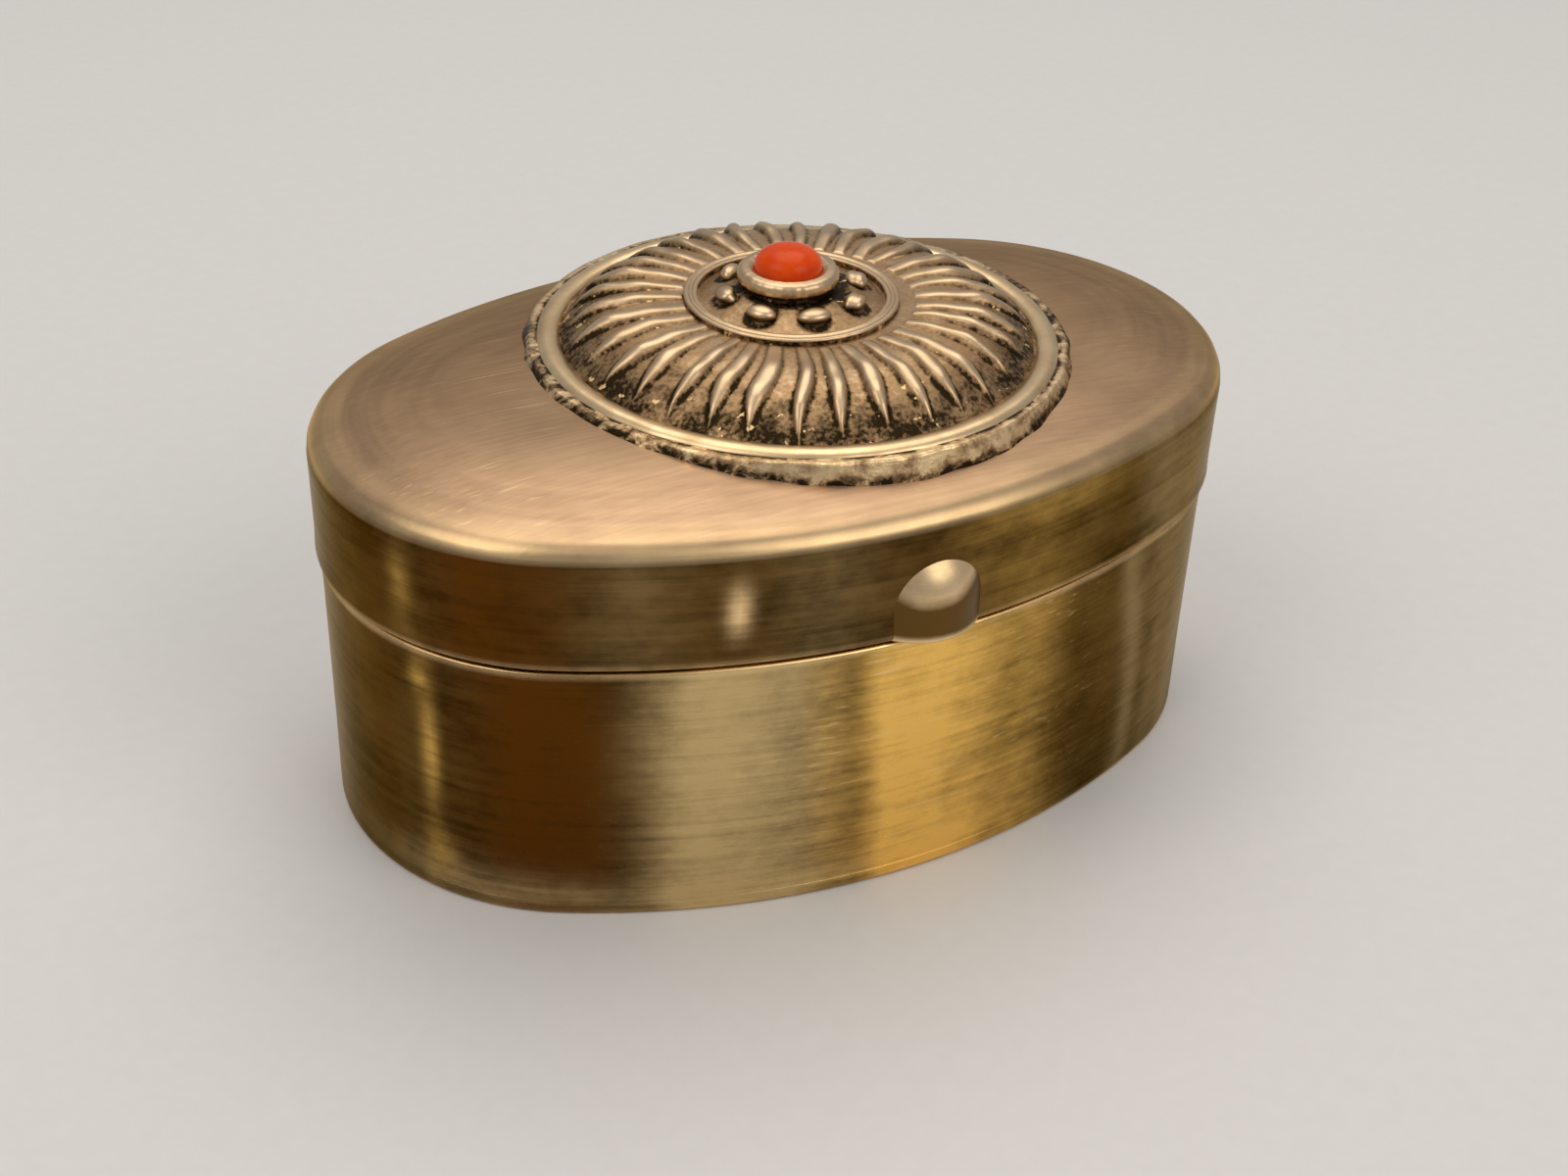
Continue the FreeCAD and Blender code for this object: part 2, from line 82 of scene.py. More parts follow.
# Sizes of the sheet, the wires and the soft edges
END_RADIUS = 13.36 * MM
SHEET = 0.8 * MM
EDGE_ROUND = 1.4 * MM
SHEET_ROUND = 0.14 * MM
SEAM_ROUND = 0.22 * MM
SEAM_LOOP = 2 * SEAM_ROUND
CRISP = 0.03 * MM
CRISP_LOOP = 4 * CRISP
FLOOR_ROUND = 0.3 * MM
CROWN = 1.2 * MM
CROWN_RUN = 8 * MM
LIP_SHEET = 0.6 * MM
GROOVE_HALF = 7.4 * MM
GROOVE_CLEARANCE = 0.15 * MM
GROOVE_REACH = 2.4 * MM
KNUCKLE_RADIUS = 1.1 * MM
KNUCKLE_BORE = 0.55 * MM
KNUCKLE_ROUND = 0.12 * MM
BORE_ROUND = 0.05 * MM
PIN_RADIUS = 0.5 * MM
PIN_HEAD = 0.25 * MM
KNOB_RADIUS = 3.4 * MM
KNOB_RISE = 1.7 * MM
KNOB_ROUND = 0.12 * MM

# How finely the surfaces are divided
STATIONS = 480
RUN = 0.7 * MM
ARC_STEPS = 6
TURN_STEPS = 160
FOOT_STEPS = 480
RIM_STEPS = 400
RING_STEPS = 320
BEZEL_STEPS = 240
BEAD_STEPS = 40
HINGE_STEPS = 64
FINE_RUN = 0.1 * MM
FLOOR_RUN = 0.25 * MM
LID_RUN = 0.5 * MM
KNOB_RUN = 0.2 * MM
TUBE_RUN = 0.3 * MM
PIN_RUN = 0.5 * MM
STRAIGHT = 0.499 * math.pi


# Meshes from grids of points

def outline(corners, closed=True, run=RUN):
    """Profile through corners (across, up, rounding).

    Each corner becomes an arc tangent to both of its sides, and the straight stretches between arcs
    are cut into equal lengths of at most run. An open profile keeps its two end corners sharp.
    """
    points = np.array([corner[:2] for corner in corners], float)
    rounding = np.array([corner[2] for corner in corners], float)
    if not closed:
        rounding[[0, -1]] = 0
    stretches = []
    for index, point in enumerate(points):
        back = points[index - 1] - point
        ahead = points[(index + 1) % len(points)] - point
        back, ahead = back / np.linalg.norm(back), ahead / np.linalg.norm(ahead)
        half = math.acos(np.clip(back @ ahead, -1, 1)) / 2
        if rounding[index] == 0 or half > STRAIGHT:
            stretches.append(point[None])
            continue
        middle = (back + ahead) / np.linalg.norm(back + ahead)
        centre = point + middle * rounding[index] / math.sin(half)
        first = point + back * rounding[index] / math.tan(half) - centre
        last = point + ahead * rounding[index] / math.tan(half) - centre
        start = math.atan2(first[1], first[0])
        sweep = (math.atan2(last[1], last[0]) - start + math.pi) % TAU - math.pi
        angle = start + sweep * np.linspace(0, 1, ARC_STEPS)
        stretches.append(centre + rounding[index] * np.stack([np.cos(angle), np.sin(angle)], -1))
    filled = []
    for index, stretch in enumerate(stretches):
        filled.append(stretch)
        if index + 1 == len(stretches) and not closed:
            break
        after = stretches[(index + 1) % len(stretches)][0]
        count = math.ceil(np.linalg.norm(after - stretch[-1]) / run)
        share = np.linspace(0, 1, count + 1)[1:-1, None]
        filled.append(stretch[-1] + share * (after - stretch[-1]))
    return np.concatenate(filled)


def grid_mesh(rings, ends):
    """Corner points and faces of a closed skin over rings of points, an array (ring, point, xyz).

    Every ring closes on itself. With ends "join" the last ring meets the first, with "poles" the
    first and last ring are single points, and with "caps" they are closed by flat faces.
    """
    count, size = rings.shape[:2]
    if ends == "poles":
        points = np.concatenate([rings[1:-1].reshape(-1, 3), rings[:1, 0], rings[-1:, 0]])
        count -= 2
    else:
        points = rings.reshape(-1, 3)
    across = np.arange(size)
    beside = (across + 1) % size
    row = np.arange(count if ends == "join" else count - 1)[:, None]
    below = (row + 1) % count
    quads = [row * size + across, row * size + beside, below * size + beside, below * size + across]
    faces = np.stack(quads, -1).reshape(-1, 4).tolist()
    final = (count - 1) * size
    if ends == "poles":
        first, last = np.full(size, count * size), np.full(size, count * size + 1)
        faces += np.stack([first, beside, across], -1).tolist()
        faces += np.stack([final + across, final + beside, last], -1).tolist()
    if ends == "caps":
        faces += [across[::-1].tolist(), (final + across).tolist()]
    return points, faces


def at_points(values):
    """Values per ring and point, in the order of the corner points of a skin with poles."""
    return np.concatenate([values[1:-1].ravel(), values[[0, -1], 0]])


def enclosed_volume(points, faces):
    """Volume inside the faces by the divergence theorem, negative when they point inwards."""
    fans = [(face[0], face[i], face[i + 1]) for face in faces for i in range(1, len(face) - 1)]
    a, b, c = points[np.array(fans)].transpose(1, 0, 2)
    return (a * np.cross(b, c)).sum() / 6


def add_piece(name, skins, body, finish, stands_for=(), shades=None):
    """Makes one piece from its closed skins, turns their faces outwards, gives it its finish and seat.

    shades holds extra values per corner point, by name, that the finish reads.
    """
    points, faces = [], []
    start = 0
    for skin_points, skin_faces in skins:
        step = 1 if enclosed_volume(skin_points, skin_faces) > 0 else -1
        faces += [[start + corner for corner in face[::step]] for face in skin_faces]
        points.append(skin_points)
        start += len(skin_points)
    mesh = bpy.data.meshes.new(name)
    mesh.from_pydata(np.concatenate(points), [], faces)
    mesh.polygons.foreach_set("use_smooth", np.ones(len(faces), bool))
    for label, values in (shades or {}).items():
        layer = mesh.attributes.new(label, "FLOAT", "POINT")
        layer.data.foreach_set("value", np.ascontiguousarray(values, np.float32))
    mesh.materials.append(finish)
    mesh.update()
    piece = bpy.data.objects.new(name, mesh)
    bpy.context.scene.collection.objects.link(piece)
    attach(piece, body)
    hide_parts(*stands_for)
    return piece


def turned(profile, centre, steps=TURN_STEPS):
    """Turns a profile of (radius, level) round the upright line through centre, one ring per point."""
    angle = np.linspace(0, TAU, steps, endpoint=False)
    radius, level = profile[:, 0, None], profile[:, 1, None]
    x = centre[0] + radius * np.cos(angle)
    y = centre[1] + radius * np.sin(angle)
    return np.stack([x, y, level + 0 * angle], -1)


def turned_on_hinge(profile):
    """Turns a profile of (radius, distance along the hinge) round the hinge's axis."""
    across, up, along = turned(profile, (0, 0), HINGE_STEPS).transpose(2, 0, 1)
    return np.stack([along, hinge_y + across, hinge_z + up], -1)


# The oval plan, which the floor, the walls, the lip and the lid share

half_length, half_width = wall_high[0], -wall_low[1]
end_reach = half_length - END_RADIUS
side_radius = (end_reach ** 2 + half_width ** 2 - END_RADIUS ** 2) / (2 * (half_width - END_RADIUS))
side_reach = side_radius - half_width
end_turn = math.atan2(side_reach, end_reach)
lid_offset = lid_high[0] - half_length
lid_edge = top_high[2] - CROWN

arc_angles = np.array([
    0.25 * TAU, 0.5 * TAU - end_turn, 0.5 * TAU + end_turn, TAU - end_turn, TAU + end_turn, 1.25 * TAU,
])
arc_radii = np.array([side_radius, END_RADIUS, side_radius, END_RADIUS, side_radius])
arc_centres = np.array([
    (0, -side_reach), (-end_reach, 0), (0, side_reach), (end_reach, 0), (0, -side_reach),
])
arc_marks = np.concatenate([[0], np.cumsum(np.diff(arc_angles) * arc_radii)])
girth = arc_marks[-1]


def oval(distance):
    """Points and outward normals of the oval at distances round it, from the back middle by -X.

    The oval is four tangent arcs: on each, a point is the arc's centre plus its radius times the normal.
    """
    angle = np.interp(distance, arc_marks, arc_angles)
    arc = np.clip(np.searchsorted(arc_marks, distance, side="right") - 1, 0, len(arc_radii) - 1)
    normals = np.stack([np.cos(angle), np.sin(angle)], -1)
    return arc_centres[arc] + arc_radii[arc, None] * normals, normals


groove_end = side_radius * math.asin(GROOVE_HALF / side_radius)
NICK = 0.01 * MM
around = np.sort(np.concatenate([
    np.arange(STATIONS) * girth / STATIONS,
    [groove_end - NICK, groove_end + NICK, girth - groove_end - NICK, girth - groove_end + NICK],
]))
plan, plan_normals = oval(around)


def carried(profile, stations=slice(None)):
    """Carries a profile of (outward offset, level) round the oval, one ring per point of the profile."""
    place = plan[stations] + profile[:, 0, None, None] * plan_normals[stations]
    level = np.broadcast_to(profile[:, 1, None, None], place.shape[:2] + (1,))
    return np.concatenate([place, level], -1)


def drawn_in(ring, shares):
    """The ring of points drawn in to its middle by each share, 1 for the ring itself and 0 for a pole."""
    rings = ring[None] * shares[:, None, None]
    rings[..., 2] = ring[:, 2]
    return rings


def lid_level(x, y):
    """Level of the lid's outer face over places in plan, by their distance inside the lid's edge.

    The shoulder is a quarter circle. Inside it the crown rises as a parabola, level after its run.
    """
    x, y = np.abs(x), np.abs(y)
    on_side = np.arctan2(y + side_reach, x) > end_turn
    side, end = side_radius - np.hypot(x, y + side_reach), END_RADIUS - np.hypot(x - end_reach, y)
    inset = np.where(on_side, side, end) + lid_offset
    rise = np.clip((inset - EDGE_ROUND) / CROWN_RUN, 0, 1)
    lean = np.clip(EDGE_ROUND - inset, 0, EDGE_ROUND)
    return lid_edge + CROWN * rise * (2 - rise) - EDGE_ROUND + np.sqrt(EDGE_ROUND ** 2 - lean ** 2)


RIPPLE_TURNS = (2, 11)
RIPPLE_RISE = 250


def ripple(distance, level, count, seed):
    """Smooth uneven field from 0 to 1 that closes on itself round the oval: a sum of plain waves."""
    draw = np.random.default_rng(seed)
    turns = draw.integers(*RIPPLE_TURNS, count)
    rise = draw.uniform(-RIPPLE_RISE, RIPPLE_RISE, count)
    phase = draw.uniform(0, TAU, count)
    angle = TAU * distance[..., None] / girth * turns + level[..., None] * rise + phase
    return 0.5 + 0.5 * np.cos(angle).mean(-1)


def bell(gap, width):
    """Bell curve: 1 where the gap is 0, falling away over width."""
    return np.exp(-(gap / width) ** 2)


def near(distance, place, width):
    """Bell curve of 1 at a place round the oval, falling away over width, the short way round."""
    gap = (distance - place + girth / 2) % girth - girth / 2
    return bell(gap, width)


# Finishes

METAL = 1.0
NOISE_LOW, NOISE_HIGH = 0.3, 0.7


def new_finish(name, metallic=0.0):
    """Empty node finish: the material, its node tree and its shader."""
    material = bpy.data.materials.new(name)
    material.use_nodes = True
    shader = material.node_tree.nodes["Principled BSDF"]
    shader.inputs["Metallic"].default_value = metallic
    return material, material.node_tree, shader


def feed(tree, socket, value):
    """Links a socket of another node, or writes a plain value, into a socket."""
    if isinstance(value, bpy.types.NodeSocket):
        tree.links.new(value, socket)
    else:
        socket.default_value = value


def stretched(tree, scale, turn):
    """Object coordinates, turned and then stretched by a scale per axis."""
    coordinate = tree.nodes.new("ShaderNodeTexCoord")
    mapping = tree.nodes.new("ShaderNodeMapping")
    mapping.inputs["Scale"].default_value = scale
    mapping.inputs["Rotation"].default_value = turn
    tree.links.new(coordinate.outputs["Object"], mapping.inputs["Vector"])
    return mapping.outputs["Vector"]


def noise(tree, scale, detail=2.0, roughness=0.5, distortion=0.0, turn=(0, 0, 0)):
    """Noise from 0 to 1 over the object's coordinates, turned and then stretched by a scale per axis."""
    node = tree.nodes.new("ShaderNodeTexNoise")
    node.inputs["Scale"].default_value = 1.0
    node.inputs["Detail"].default_value = detail
    node.inputs["Roughness"].default_value = roughness
    node.inputs["Distortion"].default_value = distortion
    tree.links.new(stretched(tree, scale, turn), node.inputs["Vector"])
    return node.outputs["Fac"]


def spread(tree, value, low, high, to_low=0.0, to_high=1.0):
    """Moves the range low to high onto another range, clamped."""
    node = tree.nodes.new("ShaderNodeMapRange")
    feed(tree, node.inputs["Value"], value)
    for name, number in (("From Min", low), ("From Max", high), ("To Min", to_low), ("To Max", to_high)):
        node.inputs[name].default_value = number
    return node.outputs["Result"]


def ranged(tree, value, to_low=0.0, to_high=1.0):
    """Moves the usual range of noise onto another range, clamped."""
    return spread(tree, value, NOISE_LOW, NOISE_HIGH, to_low, to_high)


def sum_of(tree, operation, first, second):
    """One arithmetic step on two values."""
    node = tree.nodes.new("ShaderNodeMath")
    node.operation = operation
    feed(tree, node.inputs[0], first)
    feed(tree, node.inputs[1], second)
    return node.outputs["Value"]


def blended(tree, share, first, second):
    """Colour between two colours by a share from 0 to 1."""
    node = tree.nodes.new("ShaderNodeMix")
    node.data_type = "RGBA"
    feed(tree, node.inputs["Factor"], share)
    feed(tree, node.inputs["A"], first)
    feed(tree, node.inputs["B"], second)
    return node.outputs["Result"]


def shade(tree, name):
    """A value that the mesh holds per corner point."""
    node = tree.nodes.new("ShaderNodeAttribute")
    node.attribute_name = name
    return node.outputs["Fac"]


def level_of(tree, low, high):
    """0 below one level and 1 above another, from the object's own height."""
    coordinate = tree.nodes.new("ShaderNodeTexCoord")
    parts = tree.nodes.new("ShaderNodeSeparateXYZ")
    tree.links.new(coordinate.outputs["Object"], parts.inputs["Vector"])
    return spread(tree, parts.outputs["Z"], low, high)


def embossed(tree, shader, layers):
    """Bump from layers of (height, depth in microns), each on top of the one before."""
    normal = None
    for height, depth in layers:
        node = tree.nodes.new("ShaderNodeBump")
        node.inputs["Distance"].default_value = depth * MICRON
        tree.links.new(height, node.inputs["Height"])
        if normal is not None:
            tree.links.new(normal, node.inputs["Normal"])
        normal = node.outputs["Normal"]
    tree.links.new(normal, shader.inputs["Normal"])


def scratches(tree, scale, turn):
    """Sparse straight hair lines, 1 on a scratch: the peaks of strongly stretched noise, in a few patches."""
    line = spread(tree, noise(tree, scale, 1.0, 0.4, turn=turn), 0.66, 0.74)
    patch = spread(tree, noise(tree, (120, 120, 150), turn=turn), 0.44, 0.56)
    return sum_of(tree, "MULTIPLY", line, patch)


UMBER = (0.042, 0.019, 0.003, 1)
BROWN = (0.14, 0.077, 0.020, 1)
RUST = (0.11, 0.036, 0.003, 1)
OLIVE = (0.66, 0.49, 0.23, 1)
GOLD = (0.98, 0.60, 0.15, 1)
GREY = (0.32, 0.235, 0.12, 1)
ROSE = (0.53, 0.345, 0.205, 1)
DULL = (0.37, 0.235, 0.14, 1)
FILM = (0.40, 0.25, 0.125, 1)
OXIDE = (0.035, 0.022, 0.009, 1)
CORAL = (0.80, 0.082, 0.003, 1)
CORAL_DEEP = (0.62, 0.042, 0.002, 1)
# Bare metal on scratches and chips, and a painted highlight on the lid's shoulder, on its wall and along the
# edges at the seam.
BARE_AND_HIGHLIGHT = (0.95, 0.67, 0.34, 1)
SOLDER = (0.90, 0.66, 0.36, 1)
RUBBED = (0.76, 0.55, 0.33, 1)
RUBBED_DULL = (0.58, 0.41, 0.24, 1)
WIRE = (0.94, 0.70, 0.40, 1)
WIRE_DULL = (0.58, 0.39, 0.20, 1)
HINGE = (0.60, 0.45, 0.28, 1)
HINGE_DULL = (0.24, 0.15, 0.07, 1)
TARNISH_AND_REFLECTIONS = {"rust": RUST, "olive": OLIVE, "gold": GOLD, "grey": GREY, "bare": BARE_AND_HIGHLIGHT}
EDGE_TINT = (0.80, 0.69, 0.52, 1)
BRUSH_TILT = (0.03, -0.02, 0.0)


def wall_grain(tree):
    """Noise of the walls: soft clouds, streaks round the box and fine brush lines."""
    clouds = noise(tree, (130, 130, 180), 5.0, 0.6)
    streaks = noise(tree, (70, 70, 2600), 4.0, 0.65, turn=BRUSH_TILT)
    brush = noise(tree, (110, 110, 9000), 2.0, 0.5, turn=BRUSH_TILT)
    return clouds, streaks, brush


def tarnish_and_reflection_colour(tree, clouds, streaks):
    """Colour of the walls: brown, overlaid by the share of each tarnish and painted reflection that the mesh
    holds.
    """
    mottle = noise(tree, (700, 700, 1100), 4.0, 0.65)
    waver = sum_of(tree, "ADD", ranged(tree, clouds, -0.14, 0.14), ranged(tree, streaks, -0.17, 0.14))
    waver = sum_of(tree, "ADD", waver, ranged(tree, mottle, -0.13, 0.1))
    colour = blended(tree, spread(tree, sum_of(tree, "ADD", clouds, waver), 0.2, 0.8), UMBER, BROWN)
    for name, tint in TARNISH_AND_REFLECTIONS.items():
        share = shade(tree, name)
        change = sum_of(tree, "MULTIPLY", waver, spread(tree, share, 0.0, 0.5))
        cover = spread(tree, sum_of(tree, "ADD", share, change), 0.0, 1.0)
        colour = blended(tree, cover, colour, tint)
    return colour


def hair_lines(tree):
    """Diagonal hair lines on the front of the walls, where the mesh lets them show."""
    first = scratches(tree, (150, 4600, 4600), (0.0, 0.4, 0.0))
    second = scratches(tree, (220, 5600, 5600), (0.0, -0.9, 0.0))
    return sum_of(tree, "MULTIPLY", sum_of(tree, "MAXIMUM", first, second), shade(tree, "marks"))


def brushed_wall():
    """Walls: finely brushed lengthways over brown tarnish, with gold, olive and grey bands that are partly
    tarnish and partly painted reflections of the surroundings.
    """
    material, tree, shader = new_finish("brushed_silver", METAL)
    clouds, streaks, brush = wall_grain(tree)
    marks = hair_lines(tree)
    colour = tarnish_and_reflection_colour(tree, clouds, streaks)
    feed(tree, shader.inputs["Base Color"], blended(tree, sum_of(tree, "MULTIPLY", marks, 0.5), colour, BARE_AND_HIGHLIGHT))
    shader.inputs["Specular Tint"].default_value = EDGE_TINT
    rough = sum_of(tree, "ADD", ranged(tree, clouds, 0.24, 0.34), ranged(tree, brush, -0.04, 0.05))
    feed(tree, shader.inputs["Roughness"], rough)
    embossed(tree, shader, [(clouds, 8), (streaks, 3), (brush, 1.2), (marks, 3)])
    return material


def shoulder_level(tree, low, high):
    """0 below one level at the lid's shoulder and 1 above another, in roundings over the lid's edge."""
    return level_of(tree, lid_edge + low * EDGE_ROUND, lid_edge + high * EDGE_ROUND)


def brushed_lid():
    """Lid: satin top brushed along its length, a painted highlight along the shoulder that stands also for
    wear, and walls brushed and coloured as the base is, with tarnish and painted reflections.
    """
    material, tree, shader = new_finish("satin_silver", METAL)
    on_top = shoulder_level(tree, -0.75, -0.1)
    clouds, streaks, brush = wall_grain(tree)
    along = noise(tree, (110, 5200, 5200), 2.0, 0.5, turn=(0, 0, 0.12))
    marks = sum_of(tree, "MULTIPLY", scratches(tree, (190, 4200, 4200), (0.0, 0.0, 0.5)), on_top)
    wall = tarnish_and_reflection_colour(tree, clouds, streaks)
    worn = sum_of(tree, "ADD", spread(tree, clouds, 0.25, 0.75), ranged(tree, along, -0.2, 0.2))
    top = blended(tree, spread(tree, worn, 0.0, 1.0), DULL, ROSE)
    colour = blended(tree, on_top, wall, top)
    # Painted highlight: a bright band along the shoulder, made uneven by the clouds, which stands also for
    # wear on the edge.
    below_top = sum_of(tree, "SUBTRACT", 1.0, shoulder_level(tree, -0.45, 0.2))
    shoulder = sum_of(tree, "MULTIPLY", shoulder_level(tree, -0.75, -0.5), below_top)
    brightened = sum_of(tree, "MULTIPLY", shoulder, spread(tree, clouds, 0.3, 0.65, 0.25, 0.85))
    colour = blended(tree, brightened, colour, BARE_AND_HIGHLIGHT)
    feed(tree, shader.inputs["Base Color"], blended(tree, sum_of(tree, "MULTIPLY", marks, 0.2), colour, BARE_AND_HIGHLIGHT))
    shader.inputs["Specular Tint"].default_value = EDGE_TINT
    rough = sum_of(tree, "ADD", spread(tree, on_top, 0.0, 1.0, 0.26, 0.4), ranged(tree, brush, -0.04, 0.05))
    feed(tree, shader.inputs["Roughness"], rough)
    top_lines = sum_of(tree, "MULTIPLY", along, on_top)
    wall_lines = sum_of(tree, "MULTIPLY", brush, sum_of(tree, "SUBTRACT", 1.0, on_top))
    lines = sum_of(tree, "ADD", top_lines, wall_lines)
    embossed(tree, shader, [(clouds, 8), (lines, 1.6), (marks, 3)])
    return material


def oxidised():
    """Chased work: rubbed bright, a brown film on the flats, dark oxide and a few flecks in the recesses, and
    painted shade where the mesh marks it round the bezel's neck.
    """
    material, tree, shader = new_finish("oxidised_silver", METAL)
    grime = noise(tree, (900, 900, 900), 4.0, 0.6)
    pits = noise(tree, (4600, 4600, 4600), 2.0, 0.5)
    clouds = noise(tree, (300, 300, 300), 4.0, 0.6)
    chips = noise(tree, (900, 1300, 1300), 3.0, 0.6, turn=(0.4, 0.3, 0.9))
    recess = shade(tree, "recess")
    patchy = sum_of(tree, "ADD", ranged(tree, grime, 0.6, 1.4), spread(tree, pits, 0.35, 0.65, -0.2, 0.2))
    darkening = sum_of(tree, "MULTIPLY", recess, patchy)
    brightened = blended(tree, ranged(tree, clouds), RUBBED_DULL, RUBBED)
    colour = blended(tree, spread(tree, darkening, 0.08, 0.42), brightened, FILM)
    colour = blended(tree, spread(tree, darkening, 0.5, 0.92), colour, OXIDE)
    flecks = sum_of(tree, "MULTIPLY", spread(tree, chips, 0.66, 0.675), spread(tree, recess, 0.55, 0.65))
    feed(tree, shader.inputs["Base Color"], blended(tree, flecks, colour, BARE_AND_HIGHLIGHT))
    feed(tree, shader.inputs["Roughness"], spread(tree, darkening, 0.0, 0.9, 0.36, 0.6))
    rough_skin = sum_of(tree, "MULTIPLY", pits, spread(tree, recess, 0.0, 0.6, 0.15, 1.0))
    embossed(tree, shader, [(clouds, 20), (grime, 12), (rough_skin, 8)])
    return material


def rough_solder():
    """The medallion's foot: lumpy and pitted, dark in the pits and along its lower edge."""
    material, tree, shader = new_finish("pitted_silver", METAL)
    lumps = noise(tree, (900, 900, 1100), 5.0, 0.65, 0.4)
    pits = noise(tree, (3600, 3600, 3600), 3.0, 0.6)
    lumpy = spread(tree, lumps, 0.38, 0.62, 0.1, 1.7)
    patchy = sum_of(tree, "ADD", lumpy, spread(tree, pits, 0.35, 0.65, -0.2, 0.2))
    darkening = sum_of(tree, "MULTIPLY", shade(tree, "recess"), patchy)
    colour = blended(tree, spread(tree, darkening, 0.1, 0.5), SOLDER, FILM)
    feed(tree, shader.inputs["Base Color"], blended(tree, spread(tree, darkening, 0.45, 0.9), colour, OXIDE))
    feed(tree, shader.inputs["Roughness"], ranged(tree, lumps, 0.3, 0.5))
    embossed(tree, shader, [(lumps, 90), (pits, 15)])
    return material


def worn_wire(name, light, dark):
    """Wire, knob and hinge silver: rubbed bright, with small dents and hair lines, and brown painted shade on
    the knob where its mesh asks for it.
    """
    material, tree, shader = new_finish(name, METAL)
    clouds = noise(tree, (420, 420, 420), 4.0, 0.55)
    hairs = noise(tree, (900, 900, 6000), 2.0, 0.5, turn=(0.3, 0.2, 0.1))
    share = sum_of(tree, "ADD", spread(tree, clouds, 0.32, 0.75), ranged(tree, hairs, -0.1, 0.1))
    colour = blended(tree, spread(tree, share, 0.0, 1.0), light, dark)
    # Painted shade: brown where the mesh asks for it, which only the knob does.
    film = sum_of(tree, "ADD", shade(tree, "film"), ranged(tree, clouds, -0.1, 0.1))
    feed(tree, shader.inputs["Base Color"], blended(tree, spread(tree, film, 0.1, 0.9), colour, BROWN))
    feed(tree, shader.inputs["Roughness"], spread(tree, share, 0.0, 1.0, 0.30, 0.42))
    embossed(tree, shader, [(clouds, 12), (hairs, 1)])
    return material


CORAL_GLOSS = 0.14
CORAL_GLOW = 0.12
CORAL_BLEED = (1.0, 0.25, 0.1)
CORAL_DEPTH = 0.3 * MM


def polished_coral():
    """Coral: glossy orange red with faint growth clouds and a few tiny pits."""
    material, tree, shader = new_finish("coral")
    clouds = noise(tree, (700, 700, 900), 4.0, 0.6)
    pits = noise(tree, (3500, 3500, 3500), 2.0, 0.5)
    colour = blended(tree, spread(tree, clouds, 0.35, 0.75), CORAL, CORAL_DEEP)
    feed(tree, shader.inputs["Base Color"], colour)
    feed(tree, shader.inputs["Roughness"], ranged(tree, clouds, 0.16, 0.28))
    shader.inputs["Specular IOR Level"].default_value = CORAL_GLOSS
    shader.inputs["Subsurface Weight"].default_value = CORAL_GLOW
    shader.inputs["Subsurface Radius"].default_value = CORAL_BLEED
    shader.inputs["Subsurface Scale"].default_value = CORAL_DEPTH
    embossed(tree, shader, [(clouds, 10), (pits, 1.5)])
    return material


wall_silver = brushed_wall()
lid_silver = brushed_lid()
chased_silver = oxidised()
foot_silver = rough_solder()
wire_silver = worn_wire("rubbed_silver", WIRE, WIRE_DULL)
hinge_silver = worn_wire("hinge_silver", HINGE, HINGE_DULL)
coral = polished_coral()


def add_chased(name, skins, node, recess, finish=chased_silver):
    """Adds one piece of the chased work on the lid. recess is its darkening per corner point, from 0 to 1:
    oxide and dirt, and painted shade round the bezel's neck.
    """
    add_piece(name, skins, "lid", finish, [node], {"recess": recess})


# Tarnish, painted reflections and dents of the walls, by their place round the oval from the back middle

BAND_WAVER = 2.2 * MM
GREY_WAVER = 5.0 * MM
# The bare band at the seam is wear and a painted highlight along the edge.
EDGE_WEAR_AND_HIGHLIGHT = 0.75
EDGE_BAND = 0.2 * MM
MARKS_WIDTH = 9 * MM


def tarnish_and_reflections(distance, level, patches, spots, seam):
    """Share of each tarnish and painted reflection colour: bells at its bands, whose places waver with the
    level, and spots.

    The edge at the seam's level gets a bare band: wear and a painted highlight. Hair lines show on the front
    and back, not round the ends.
    """
    held = distance + BAND_WAVER * (ripple(distance, level, count=9, seed=8) - 0.5)
    loose = distance + GREY_WAVER * (ripple(distance, level, count=6, seed=31) - 0.5)
    shares = {name: np.zeros(distance.shape) for name in TARNISH_AND_REFLECTIONS}
    for name, bells in patches.items():
        wavering = loose if name == "grey" else held
        for place, width, strength in bells:
            shares[name] += strength * near(wavering, place * MM, width * MM)
    for name, place, width, height, tall, strength in spots:
        upright = bell(level / MM - height, tall)
        shares[name] += strength * near(held, place * MM, width * MM) * upright
    shares["bare"] += EDGE_WEAR_AND_HIGHLIGHT * bell(level - seam, EDGE_BAND)
    shares["marks"] = near(distance, girth / 2, MARKS_WIDTH) + near(distance, 0, MARKS_WIDTH)
    return {name: np.clip(share, 0, 1) for name, share in shares.items()}


